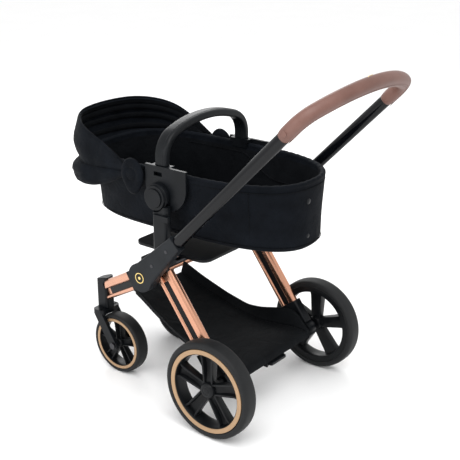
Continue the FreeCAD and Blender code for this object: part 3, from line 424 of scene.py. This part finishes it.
def bow_path(half_width, apex, corner, curve, start, count):
    """(across, out) points of a half hoop: two legs, two corners and a gently bowed front."""
    steps = count // 6
    curve_centre = apex - curve
    corner_x = half_width - corner
    leg = curve_centre + math.sqrt((curve - corner) ** 2 - corner_x ** 2)
    lean = math.atan2(leg - curve_centre, corner_x)
    half = []
    for k in range(steps):
        half.append((half_width, start + (leg - start) * k / steps))
    for k in range(steps):
        angle = lean * k / steps
        half.append((corner_x + corner * math.cos(angle), leg + corner * math.sin(angle)))
    for k in range(steps + 1):
        angle = lean + (math.pi / 2 - lean) * k / steps
        half.append((curve * math.cos(angle), curve_centre + curve * math.sin(angle)))
    return half + [(-x, out) for x, out in reversed(half[:-1])]


def ripple(point, scale, seed=0.0):
    """Smooth noise from -1 to 1 at a point."""
    return noise.noise(point * scale + Vector((seed, seed * 1.7, seed * 0.3)))


# ---------------------------------------------------------------------------------------------
# Wheels: a rubber tyre with rounded shoulders and a rim of five channelled spokes
# ---------------------------------------------------------------------------------------------

def tyre_profile(radius, half):
    """Tread from one bead to the other, as shares of the radius and of half the width."""
    tread = [
        (0.868, 0.78), (0.872, 0.90), (0.885, 0.965), (0.91, 0.99), (0.94, 0.985), (0.962, 0.94),
        (0.978, 0.86), (0.988, 0.76), (0.9935, 0.66), (0.9985, 0.45), (1.0, 0.25), (1.0, 0.0),
    ]
    outside = scaled(tread, radius, half)
    inside = [(r, -o) for r, o in reversed(outside[:-1])]
    return outside + inside


# Closed section of the rim's band, with a groove for the trim ring, and the open one of its hub:
# shares of the radius and of half the width.
RIM_BAND = [
    (0.870, 0.86), (0.862, 0.90), (0.860, 0.74), (0.769, 0.74), (0.766, 0.92), (0.756, 0.92),
    (0.748, 0.80), (0.735, 0.50), (0.735, -0.60), (0.750, -0.88), (0.870, -0.88),
]
RIM_HUB = [
    (0.055, 0.86), (0.062, 0.80), (0.075, 0.80), (0.082, 0.84), (0.125, 0.80), (0.150, 0.70),
    (0.162, 0.52), (0.165, -0.80),
]
HUB_CENTRE = 0.0004


def scaled(profile, radius, half):
    return [(radius * r, half * out) for r, out in profile]


def spoke_shape(radius, half, centre, side, angle):
    """Channel that opens to the outside and widens towards the rim."""
    rings = []
    lip = radius * 0.032
    steps = 12
    for k in range(steps + 1):
        share = k / steps
        reach = radius * (0.09 + 0.665 * share)
        wide = radius * (0.105 + 0.030 * share + 0.035 * max(0, (share - 0.8) / 0.2) ** 2)
        front = half * (0.48 + 0.22 * share)
        back = half * (-0.30 - 0.1 * share)
        floor = front - half * (0.18 + 0.42 * min(1, share * 2.2) - 0.16 * max(0, (share - 0.75) / 0.25))
        outline = [
            (-wide, back), (wide, back),
            (wide + lip * 0.2, front), (wide - lip, front), (wide - lip * 1.3, floor),
            (lip * 1.3 - wide, floor), (lip - wide, front), (-wide - lip * 0.2, front),
        ]
        ring = []
        for across, out in outline:
            y = -across * math.sin(angle) + reach * math.cos(angle)
            z = across * math.cos(angle) + reach * math.sin(angle)
            ring.append(centre + Vector((out * side, y, z)))
        rings.append(ring)
    return loft(rings)


def hub_profile(radius, half):
    """Hub from the middle of its outer face to the middle of its inner one."""
    wall = scaled(RIM_HUB, radius, half)
    return [(HUB_CENTRE, wall[0][1]), *wall, (HUB_CENTRE, wall[-1][1])]


SPOKES = 5
TOP = 90

for label in ("rear", "front"):
    for side_name, side in SIDES:
        low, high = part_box(f"{label}_tyre_{side_name}")
        centre = (low + high) / 2
        radius = (high.z - low.z) / 2
        half = (high.x - low.x) / 2
        body = f"{label}_wheel_{side_name}"
        tread = lathe(tyre_profile(radius, half), centre, side)
        tyre = piece(f"tyre_{label}_{side_name}", tread, TYRE_RUBBER, body)
        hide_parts(f"{label}_tyre_{side_name}")
        shapes = [lathe(scaled(RIM_BAND, radius, half), centre, side, 96)]
        shapes.append(lathe(hub_profile(radius, half), centre, side, 48, closed=False))
        for spoke in range(SPOKES):
            turned = math.radians(TOP + 360 // SPOKES * spoke)
            shapes.append(spoke_shape(radius, half, centre, side, turned))
        rim = piece(f"rim_{label}_{side_name}", shapes, RIM_PLASTIC, body)
        corner = math.radians(40)
        modify(rim, "BEVEL", width=radius * 0.008, segments=2, limit_method="ANGLE", angle_limit=corner)
        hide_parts(f"{label}_rim_{side_name}")


# ---------------------------------------------------------------------------------------------
# Carrycot
# ---------------------------------------------------------------------------------------------

COT_HALF = 0.188
COT_BASE_HALF = 0.153
COT_FOOT = AXLE_Y + 0.147
COT_HEAD = COT_LOW.y
COT_RIM = 0.716
COT_FLOOR = COT_LOW.z - 0.011
# The sides run straight between the rounded foot and head ends.
STRAIGHT_FOOT = AXLE_Y - 0.179
STRAIGHT_HEAD = AXLE_Y - 0.262
FOOT_POWER = 2.5
HEAD_POWER = 3.3
COT_POINTS = 360
DENSE_POINTS = 720
HEAD_TAPER = 0.010
FOOT_LIFT = 0.006
LIFT_FADE = 1.4


def resampled(points, count):
    """Closed polygon with points at even steps along it, from its first point."""
    loop = points + points[:1]
    lengths = [0.0]
    for a, b in zip(loop, loop[1:]):
        lengths.append(lengths[-1] + (b - a).length)
    even = []
    index = 0
    for k in range(count):
        target = lengths[-1] * k / count
        while lengths[index + 1] < target:
            index += 1
        span = lengths[index + 1] - lengths[index]
        share = (target - lengths[index]) / span if span else 0
        even.append(loop[index].lerp(loop[index + 1], share))
    return even


def cot_outline(z, inset=0.0, count=COT_POINTS):
    """Outline of the carrycot at a height, from the middle of its foot end round by its right side."""
    share = (z - COT_FLOOR) / (COT_RIM - COT_FLOOR)
    half = COT_BASE_HALF + (COT_HALF - COT_BASE_HALF) * share - inset
    head = COT_HEAD + HEAD_TAPER * (1 - share) + inset
    foot = COT_FOOT - inset
    dense = []
    for k in range(DENSE_POINTS):
        angle = math.pi / 2 + 2 * math.pi * k / DENSE_POINTS
        c, s = math.cos(angle), math.sin(angle)
        power, straight, end = (
            (FOOT_POWER, STRAIGHT_FOOT, foot) if s > 0 else (HEAD_POWER, STRAIGHT_HEAD, head)
        )
        across = math.copysign(abs(c) ** (2 / power), c) * half
        y = straight + abs(s) ** (2 / power) * (end - straight)
        towards_foot = (y - COT_HEAD) / (COT_FOOT - COT_HEAD)
        slope = FOOT_LIFT * towards_foot * max(0, 1 - share * LIFT_FADE)
        dense.append(Vector((across, y, z + slope)))
    return resampled(dense, count)


def ring_normal(ring, index):
    """Level outward normal of a ring at one of its points."""
    along = (ring[(index + 1) % len(ring)] - ring[index - 1]).normalized()
    return along.cross(Vector((0, 0, 1))) * -1


def softened(ring, amount, scale, seed):
    """Ring moved in and out along its normals by smooth noise."""
    moved = []
    for k, point in enumerate(ring):
        place = Vector((point.x, point.y, point.z * 0.5))
        moved.append(point + ring_normal(ring, k) * amount * ripple(place, scale, seed))
    return moved


# The underside's rounded edge: (inset, rise) from the middle out to the foot of the wall.
EDGE_RISE = 0.019
UNDERSIDE = [
    (0.10, 0.0), (0.04, 0.0005), (0.020, 0.0015), (0.011, 0.0045), (0.0045, 0.0105), (0.001, EDGE_RISE),
]
EDGE_SEAM = COT_FLOOR + EDGE_RISE
WALL_STEPS = 23
WALL_BULGE = 0.0012
ROLL_RADIUS = 0.0075
ROLL_STEPS = 8
ROLL_START = -40
ROLL_TURN = 250
GATHERS = 74
GATHER_HEIGHT = 0.0007
LINING_TOP = COT_RIM - 0.010
LINING_FOOT = 0.5475
LINING_FLOOR = 0.5465
LINING_STEPS = 19
LINING_INSET = 0.0125


def gathered_rim(k):
    """One ring of the padded rim, puckered by its gathers."""
    angle = math.radians(ROLL_START + ROLL_TURN * k / ROLL_STEPS)
    height = COT_RIM - 0.005 + ROLL_RADIUS * math.sin(angle) * 0.9
    depth = 0.4 + 0.6 * math.sin(math.radians(90 * k / ROLL_STEPS))
    ring = []
    for j, point in enumerate(cot_outline(height, 0.006 - ROLL_RADIUS * math.cos(angle))):
        pucker = math.sin(j / COT_POINTS * 2 * math.pi * GATHERS) + 0.6 * ripple(point, 60.0, 1.0)
        ring.append(point + Vector((0, 0, GATHER_HEIGHT * pucker * depth)))
    return ring


def cot_rings():
    """Rings from the underside up the outer wall, over the padded rim and down the lining."""
    rings = [cot_outline(COT_FLOOR + rise, inset) for inset, rise in UNDERSIDE]
    for k in range(1, WALL_STEPS + 1):
        z = EDGE_SEAM + (COT_RIM - 0.012 - COT_FLOOR - EDGE_RISE) * k / WALL_STEPS
        fade = math.sin(math.pi * min(1, k / 12) / 2)
        ring = cot_outline(z, WALL_BULGE * math.sin(math.pi * k / WALL_STEPS))
        rings.append(softened(ring, 0.0026 * fade, 13.0, 3.1))
    rings += [gathered_rim(k) for k in range(ROLL_STEPS + 1)]
    for k in range(1, LINING_STEPS + 1):
        z = LINING_TOP + (LINING_FOOT - COT_RIM + 0.010) * k / LINING_STEPS
        rings.append(softened(cot_outline(z, LINING_INSET), 0.0020, 22.0, 8.0))
    rings.append(cot_outline(LINING_FLOOR, 0.020))
    rings.append(cot_outline(LINING_FLOOR, 0.08))
    return rings


cot = piece("cot_fabric", loft(cot_rings()), BLACK_FABRIC, "carrycot")
cot.data.materials.append(LINING)
OUTER_RINGS = len(UNDERSIDE) + WALL_STEPS + ROLL_STEPS + 1
for polygon in cot.data.polygons:
    inward = polygon.center.z > 0.545 and polygon.index > COT_POINTS * OUTER_RINGS
    polygon.material_index = 1 if inward else 0
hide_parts("cot_shell")


# Domed press stud with a rim: (share of the radius, height) from its middle out.
STUD = [(0.55, 0.0024), (0.72, 0.0017), (0.78, 0.0019), (0.95, 0.0015), (1.0, 0.0002), (0.9, -0.001)]
STUD_MIDDLE = (0.0003, 0.0026)


def snap(name, point, outward, body, radius):
    turn = outward.normalized().to_track_quat("Z", "Y").to_matrix()
    profile = [STUD_MIDDLE] + [(share * radius, rise) for share, rise in STUD]
    rings = [[point + turn @ Vector((x, y, rise)) for x, y in circle(r, 28)] for r, rise in profile]
    piece(name, loft(rings), SATIN_PLASTIC, body)


def on_cot(share, z, lift):
    """Point and outward normal on the outer wall at a share of the way round."""
    ring = cot_outline(z)
    index = round(share * COT_POINTS) % COT_POINTS
    outward = ring_normal(ring, index)
    return ring[index] + outward * lift, outward


for number, (z, size) in enumerate(((0.660, 0.0082), (0.556, 0.0064))):
    point, outward = on_cot(0.988, z, 0.0006)
    snap(f"foot_snap_{number}", point, outward, "carrycot", size)


def stitch_line(name, points, body, radius=0.0009):
    """Raised seam with a slight thread rhythm."""
    def section(share):
        swell = 1 + 0.22 * math.sin(share * len(points) * 2.1)
        return circle(radius * swell, 8)
    piece(name, sweep(points, section), LINING, body)


RIM_SEAM = COT_RIM - 0.020
for number, (z, lift) in enumerate(((RIM_SEAM, 0.0004), (EDGE_SEAM, 0.0006))):
    seam = sweep(cot_outline(z, -lift), circle(0.0011, 8), closed=True, normal=Vector((0, 0, 1)))
    piece(f"cot_seam_{number}", seam, LINING, "carrycot")
heights = [EDGE_SEAM + (RIM_SEAM - COT_FLOOR - EDGE_RISE) * k / 40 for k in range(41)]
for number, share in enumerate((0.105, 0.895, 0.5)):
    column = [on_cot(share, z, 0.0007)[0] for z in heights]
    stitch_line(f"cot_corner_seam_{number}", column, "carrycot")


def on_lining(y, z):
    """Point on the lining of the right wall."""
    wall = [point for point in cot_outline(z, 0.0140) if point.x < 0]
    return min(wall, key=lambda point: abs(point.y - y))


# Piped pocket on the lining of the right wall, and the flat band beside it.
PIPING_Z = COT_RIM - 0.028
POCKET_DEPTH = 0.062
pocket = []
for k in range(49):
    t = k / 48
    drop = math.sin(math.pi / 2 * min(1, t * 1.6)) ** 1.5
    pocket.append(on_lining(HUB.y + 0.010 + 0.230 * t, PIPING_Z - POCKET_DEPTH * drop))
stitch_line("lining_pocket_piping", pocket, "carrycot", 0.0017)
band_line = [on_lining(HUB.y - 0.190 + 0.200 * k / 30, PIPING_Z) for k in range(31)]
stitch_line("lining_band_piping", band_line, "carrycot", 0.0014)


# Mattress: a pad with rounded edges, as (inset, share of its height) from its underside to its top.
CUSHION = [
    (0.12, 0.02), (0.05, 0.01), (0.012, 0.06), (0.004, 0.2), (0.0025, 0.45),
    (0.004, 0.72), (0.012, 0.9), (0.05, 0.975), (0.10, 0.99), (0.13, 1.0),
]


def cushion_rings():
    low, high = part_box("mattress")
    height = high.z - low.z
    return [cot_outline(low.z + height * share, 0.020 + inset * 0.9, 180) for inset, share in CUSHION]


mattress = piece("mattress_pad", loft(cushion_rings()), MATTRESS_FABRIC, "carrycot")
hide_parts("mattress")


CLOTH_FRAMES = 20


def inflate(made, voxel, pressure, cap):
    """Swells a closed pad by a short cloth simulation and keeps the result as its mesh."""
    modify(made, "REMESH", mode="VOXEL", voxel_size=voxel)
    freeze(made)
    before = [v.co.copy() for v in made.data.vertices]
    cloth = made.modifiers.new("cloth", "CLOTH")
    cloth.settings.use_pressure = True
    cloth.settings.uniform_pressure_force = pressure
    cloth.settings.effector_weights.gravity = 0
    cloth.settings.quality = 5
    scene = bpy.context.scene
    for step in range(1, CLOTH_FRAMES + 1):
        scene.frame_set(step)
    freeze(made)
    scene.frame_set(1)
    for vertex, old in zip(made.data.vertices, before):
        shift = vertex.co - old
        if shift.length > cap:
            vertex.co = old + shift.normalized() * cap
    smooth(made)
    modify(made, "SUBSURF", levels=1, render_levels=1)


inflate(mattress, voxel=0.006, pressure=4.0, cap=0.007)


# ---------------------------------------------------------------------------------------------
# Canopy, folded down: a cloth pinched at the mid bow, in two sheets, each drawn through its own bows
# ---------------------------------------------------------------------------------------------

BOW_CORNER = 0.150
BOW_SWEEP = 0.400
BOW_POINTS = 96
FOLD_SCALE = 26.0


def canopy_point(across, out, angle):
    """Point at a distance out from the canopy's axle, at an angle above the horizon."""
    radians = math.radians(angle)
    return CANOPY_PIVOT + Vector((across, -out * math.cos(radians), out * math.sin(radians)))


def canopy_ring(angle, reach, half_width, droop=0.0, start=0.020, wrinkle=0.0, seed=0.0):
    """Hoop of the canopy; droop lowers its legs towards the axle, and a negative one lifts them."""
    ring = []
    for across, out in bow_path(half_width, reach, BOW_CORNER, BOW_SWEEP, start, BOW_POINTS):
        lean = angle - droop * max(0, 1 - out / reach)
        point = canopy_point(across, out, lean)
        outward = Vector((across * 0.5, point.y - CANOPY_PIVOT.y, 0)).normalized()
        fold = wrinkle * ripple(Vector((across * 0.6, point.y, point.z)), FOLD_SCALE, seed)
        ring.append(point + outward * fold)
    return ring


def soft_sheet(name, rings, material, iterations, thickness, offset):
    """Thin cloth over rings of points, smoothed and given its thickness."""
    sheet = piece(name, loft(rings, caps=False, close_columns=False), material, None)
    modify(sheet, "SMOOTH", iterations=iterations, factor=0.5)
    modify(sheet, "SOLIDIFY", thickness=thickness, offset=offset)
    freeze(sheet)
    smooth(sheet)
    return sheet


ROW_STEPS = 4


def canopy_sheet(name, rows):
    """Cloth through rows of (angle, reach, half width, droop), blended from one row to the next."""
    rings = []
    for first, last in zip(rows, rows[1:]):
        for k in range(ROW_STEPS):
            rings.append(canopy_ring(*between(first, last, k / ROW_STEPS), wrinkle=0.0048))
    rings.append(canopy_ring(*rows[-1], wrinkle=0.0015))
    sheet = soft_sheet(name, rings, BLACK_FABRIC, 4, 0.0022, -1)
    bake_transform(sheet)
    return sheet


# Angles in degrees above the horizon, lengths in metres.
HEM = 22.4
MID = -3.0
FRONT_ROWS = [
    (HEM - 0.4, 0.3120, 0.1960, -16.0),
    (HEM + 0.5, 0.3200, 0.2010, -16.0),
    (HEM - 1.4, 0.3220, 0.2020, -15.0),
    (17.0, 0.3235, 0.2030, -13.0),
    (12.0, 0.3245, 0.2035, -10.0),
    (7.0, 0.3225, 0.2035, -7.0),
    (2.5, 0.3150, 0.2025, -4.0),
    (-0.5, 0.3060, 0.2005, -2.0),
    (MID - 0.4, 0.3010, 0.1980, 0.0),
]
REAR_ROWS = [
    (MID - 0.4, 0.3010, 0.1980, 0.0),
    (-4.4, 0.3140, 0.2005, 1.0),
    (-6.2, 0.3290, 0.2035, 2.0),
    (-9.0, 0.3360, 0.2050, 4.0),
    (-9.7, 0.3330, 0.2045, 4.0),
    (-12.5, 0.3340, 0.2050, 7.0),
    (-15.0, 0.3270, 0.2045, 9.0),
    (-15.8, 0.3230, 0.2035, 9.0),
    (-17.8, 0.3080, 0.2005, 11.0),
    (-19.6, 0.2850, 0.1955, 13.0),
    (-20.2, 0.2660, 0.1885, 14.0),
]


front_sheet = canopy_sheet("canopy_front_sheet", FRONT_ROWS)
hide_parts("canopy_front_cloth")
rear_sheet = canopy_sheet("canopy_rear_sheet", REAR_ROWS)
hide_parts("canopy_rear_cloth")

# Bows inside the cloth: flat strips sewn in at the hem and at the pinch.
STRIP_HALF = 0.0075
front_strip = sweep(
    canopy_ring(HEM - 1.8, 0.3170, 0.1975, droop=-15.0, start=0.010), ellipse(0.0022, STRIP_HALF, 14)
)
front_bow = piece("canopy_front_strip", front_strip, LINING, "canopy_front")
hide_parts("canopy_front_bow")
mid_ring = canopy_ring(MID, 0.2970, 0.1960, start=0.010)
GUSSET_SHARE = 0.28
GUSSET_HALF = 0.030


def gusset(share):
    """Section of the mid strip, which widens along its legs to close the sides when the hood is up."""
    leg = min(min(share, 1 - share) / GUSSET_SHARE, 1)
    return ellipse(0.0016, STRIP_HALF + GUSSET_HALF * math.sin(math.pi * leg), 18)


mid_bow = piece("canopy_mid_strip", sweep(mid_ring, gusset), LINING, "canopy_mid")
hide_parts("canopy_mid_bow")

# Piping along the canopy's hem.
hem = canopy_ring(HEM + 0.7, 0.3185, 0.2000, droop=-16.0, start=0.058)
piece("canopy_piping", sweep(hem, circle(0.0024, 10)), BLACK_FABRIC, "canopy_front")

# Pleats on the inside of the cloth: (angle, reach, half width, body).
PLEATS = [
    (16.5, 0.3175, 0.1985, "canopy_front"),
    (11.0, 0.3180, 0.1985, "canopy_mid"),
    (4.5, 0.3115, 0.1970, "canopy_mid"),
]
for number, (angle, reach, half, body) in enumerate(PLEATS):
    pleat = canopy_ring(
        angle, reach, half, droop=-0.8 * angle, start=0.060, wrinkle=0.0016, seed=number + 2.0
    )
    band = ellipse(0.0030, 0.0085, 14)
    piece(f"canopy_pleat_{number}", sweep(pleat, band), LINING, body)

# Fabric ears over the canopy joints: a disc with a stitched groove, longer towards the bottom,
# as (share of the radius, lift) from its middle out and round to its back.
EAR_RADIUS = 0.043
EAR_POINTS = 64
EAR_GROOVE = 0.45
EAR = [
    (0.02, 0.0075), (0.40, 0.0078), (0.43, 0.0066), (0.47, 0.0078), (0.75, 0.0070),
    (0.92, 0.0045), (1.0, 0.0), (0.93, -0.0035), (0.5, -0.0045),
]
for side_name, side in SIDES:
    rings = []
    centre = CANOPY_PIVOT + Vector((side * 0.2022, 0.010, -0.002))
    for share, lift in EAR:
        ring = []
        for k in range(EAR_POINTS):
            angle = 2 * math.pi * k / EAR_POINTS
            c, s = math.cos(angle), math.sin(angle)
            outer = max(0, (share - EAR_GROOVE) / (1 - EAR_GROOVE))
            sag = 1.0 + (0.42 if s < 0 else 0.10) * abs(s) ** 1.6 * outer
            y = EAR_RADIUS * share * c
            z = EAR_RADIUS * share * s * sag
            puff = 0.0008 * ripple(Vector((side, y, z)), 60.0)
            ring.append(centre + Vector((side * (lift + puff), y, z)))
        rings.append(ring)
    piece(f"canopy_ear_{side_name}", loft(rings), BLACK_FABRIC, "carrycot")


# ---------------------------------------------------------------------------------------------
# Basket: a fabric sling between the axle and the front legs
# ---------------------------------------------------------------------------------------------

# Stations in millimetres from the front hem to the one wrapped over the axle beam:
# (along, half width, floor height, rim height).
BASKET_STATIONS = [
    (-430.0, 122.0, 262.0, 304.0),
    (-380.0, 128.0, 240.0, 276.0),
    (-330.0, 136.0, 218.0, 252.0),
    (-260.0, 146.0, 191.0, 221.0),
    (-190.0, 156.0, 168.0, 199.0),
    (-140.0, 164.0, 158.0, 201.0),
    (-90.0, 172.0, 157.0, 212.0),
    (-45.0, 177.0, 161.0, 219.0),
    (-18.0, 178.0, 164.0, 212.0),
    (4.0, 178.0, 164.0, 190.0),
    (20.0, 178.0, 163.0, 172.0),
    (31.0, 177.0, 160.0, 162.0),
    (36.0, 176.0, 150.0, 151.0),
    (37.0, 176.0, 143.5, 144.0),
]


BASKET_COLUMNS = 60
FLOOR_SHARE = 0.86
WALL_SHARE = 0.14
WALL_LEAN = 14
BELLY = 5


def basket_ring(y, half, floor, rim):
    """Section from rim to rim: a soft belly between two short walls that lean in at their feet."""
    ring = []
    for k in range(BASKET_COLUMNS + 1):
        t = k / BASKET_COLUMNS
        x = (2 * t - 1) * half
        edge = abs(2 * t - 1)
        wall = max(0, (edge - FLOOR_SHARE) / WALL_SHARE)
        belly = BELLY * (edge / FLOOR_SHARE) ** 3 if edge <= FLOOR_SHARE else BELLY * (1 - wall)
        z = floor + (rim - floor) * wall ** 1.15 + belly
        x = math.copysign(min(abs(x) / FLOOR_SHARE, 1) * (half - WALL_LEAN * (1 - wall)), x)
        point = at(x, y, z)
        point.z += 0.0018 * ripple(point, 18.0, 5.0)
        ring.append(point)
    return ring


STATION_STEPS = 5
basket_rows = []
for first, last in zip(BASKET_STATIONS, BASKET_STATIONS[1:]):
    for k in range(STATION_STEPS):
        basket_rows.append(basket_ring(*between(first, last, k / STATION_STEPS)))
basket_rows.append(basket_ring(*BASKET_STATIONS[-1]))
basket = soft_sheet("basket_sling", basket_rows, BASKET_FABRIC, 6, 0.0024, 0)
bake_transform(basket)
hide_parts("basket")


# ---------------------------------------------------------------------------------------------
# Handle grip and bumper bar
# ---------------------------------------------------------------------------------------------

TUBE_ANGLE = math.radians(45.8)
TUBE = Vector((0, math.cos(TUBE_ANGLE), math.sin(TUBE_ANGLE)))
TUBE_UP = Vector((0, -math.sin(TUBE_ANGLE), math.cos(TUBE_ANGLE)))


def on_handle(across, out):
    """Point in the plane of the handle's tubes, at a distance out from the pivot."""
    return PIVOT + Vector((across, 0, 0)) + TUBE * out


def spaced(points, step):
    """Open path with points at even steps."""
    lengths = [0.0]
    for a, b in zip(points, points[1:]):
        lengths.append(lengths[-1] + (b - a).length)
    count = max(2, round(lengths[-1] / step))
    even = []
    index = 0
    for k in range(count + 1):
        target = lengths[-1] * k / count
        while index < len(points) - 2 and lengths[index + 1] < target:
            index += 1
        span = lengths[index + 1] - lengths[index]
        even.append(points[index].lerp(points[index + 1], (target - lengths[index]) / span))
    return even


PATH_STEP = 0.004
grip_points = [on_handle(x, out) for x, out in bow_path(0.246, 0.830, 0.060, 0.480, 0.685, 180)]
grip_path = spaced(grip_points, PATH_STEP)
GRIP_OVAL = rounded_section(0.0436, 0.0396, 2.2, 48)


def grip_section(share):
    """Oval of the leather sleeve, drawn in at both ends."""
    end = min(share, 1 - share) * len(grip_path)
    swell = 0.86 + 0.14 * min(1, end / 5) ** 0.5
    return [(a * swell, u * swell) for a, u in GRIP_OVAL]


grip_skin = sweep(grip_path, grip_section, normal=TUBE_UP)
grip = piece("grip_leather", grip_skin, BROWN_LEATHER, "grip")
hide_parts("grip_bar")

# Seam along the underside of the grip, with a row of stitches on each side of it.
STITCH_GAP = 0.0032
STITCH_HALF = 0.0018
STITCH_DEPTH = 0.0196
grip_under = [point - TUBE_UP * 0.0198 for point in grip_path]
piece("grip_seam", sweep(grip_under, circle(0.0008, 6)), BROWN_LEATHER, "grip")
stitches = []
for index in range(4, len(grip_path) - 5, 2):
    centre = grip_path[index]
    along = (grip_path[index + 1] - grip_path[index - 1]).normalized()
    side_way = along.cross(TUBE_UP).normalized()
    for shift in (-STITCH_GAP, STITCH_GAP):
        a = centre + side_way * shift - along * STITCH_HALF - TUBE_UP * STITCH_DEPTH
        b = centre + side_way * shift + along * STITCH_HALF - TUBE_UP * STITCH_DEPTH
        stitches.append(sweep([a, (a + b) / 2 - TUBE_UP * 0.0003, b], circle(0.00045, 6)))
piece("grip_stitches", stitches, BROWN_LEATHER, "grip")

# Bumper bar: a leatherette sleeve with a piped seam along each of its edges.
bar_low, bar_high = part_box("bumper_bar")
BAR_HALF = 0.181
BAR_FOOT = bar_low.z + 0.0102
BAR_RISE = bar_high.z - 0.021 - BAR_FOOT
FORWARD = Vector((0, -1, 0))
bar_points = [
    Vector((x, HUB.y, BAR_FOOT + out)) for x, out in bow_path(BAR_HALF, BAR_RISE, 0.070, 0.400, 0.0, 180)
]
bar_path = spaced(bar_points, PATH_STEP)
bar_skin = sweep(bar_path, rounded_section(0.0238, 0.0436, 3.4, 56), normal=FORWARD)
bar = piece("bumper_leather", bar_skin, LEATHERETTE, "bumper")
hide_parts("bumper_bar")
PIPING_BACK = 0.0095
for number, across in enumerate((0.0112, -0.0112)):
    rail = []
    for index, point in enumerate(bar_path):
        before = bar_path[max(index - 1, 0)]
        after = bar_path[min(index + 1, len(bar_path) - 1)]
        direction = (after - before).normalized()
        side_way = direction.cross(FORWARD).normalized()
        rail.append(point + side_way * across - FORWARD * PIPING_BACK)
    piping = sweep(rail, circle(0.0011, 8), normal=FORWARD)
    piece(f"bumper_piping_{number}", piping, SATIN_PLASTIC, "bumper")


# ---------------------------------------------------------------------------------------------
# Floor, light and camera
# ---------------------------------------------------------------------------------------------

floor_material = shader_material("floor", (0.93, 0.93, 0.93), 0.9)
speck = texture(floor_material, "ShaderNodeTexNoise", 3.0, Detail=2.0)
color_from(floor_material, speck.outputs["Fac"], (0.972, 0.972, 0.972), (0.986, 0.986, 0.986))
FLOOR_HALF = 9
FLOOR_Z = -0.0004
corners = [(x * FLOOR_HALF, y * FLOOR_HALF, FLOOR_Z) for x, y in ((-1, -1), (1, -1), (1, 1), (-1, 1))]
floor = piece("floor", (corners, [(0, 1, 2, 3)]), floor_material)


def area_light(name, place, target, size, power):
    """Square soft light that faces a target."""
    data = bpy.data.lights.new(name, "AREA")
    data.shape = "SQUARE"
    data.size = size
    data.energy = power
    light = bpy.data.objects.new(name, data)
    light.location = place
    light.rotation_euler = (Vector(target) - Vector(place)).to_track_quat("-Z", "Y").to_euler()
    bpy.context.scene.collection.objects.link(light)


area_light("key", (1.2, 1.2, 3.2), (0, 0, 0.4), 2.2, 60)
area_light("side", (3.2, -0.6, 1.6), (0, 0, 0.5), 1.2, 22)
area_light("back", (-2.2, -2.4, 2.4), (0, 0, 0.5), 1.8, 40)

world = bpy.data.worlds.new("studio")
world.use_nodes = True
world.node_tree.nodes["Background"].inputs["Color"].default_value = (1, 1, 1, 1)
world.node_tree.nodes["Background"].inputs["Strength"].default_value = 1.0
bpy.context.scene.world = world
bpy.context.scene.view_settings.view_transform = "Standard"

CAMERA_AZIMUTH = math.radians(127.935)
CAMERA_ELEVATION = math.radians(20.712)
camera_data = bpy.data.cameras.new("camera")
camera_data.lens = 78.36
camera_data.sensor_width = 36
camera = bpy.data.objects.new("camera", camera_data)
camera.location = (2.1670, AXLE_Y + 1.5489, 1.5435)
back = Vector(
    (
        math.sin(CAMERA_AZIMUTH) * math.cos(CAMERA_ELEVATION),
        -math.cos(CAMERA_AZIMUTH) * math.cos(CAMERA_ELEVATION),
        math.sin(CAMERA_ELEVATION),
    )
)
camera.rotation_euler = (-back).to_track_quat("-Z", "Y").to_euler()
bpy.context.scene.collection.objects.link(camera)
bpy.context.scene.camera = camera
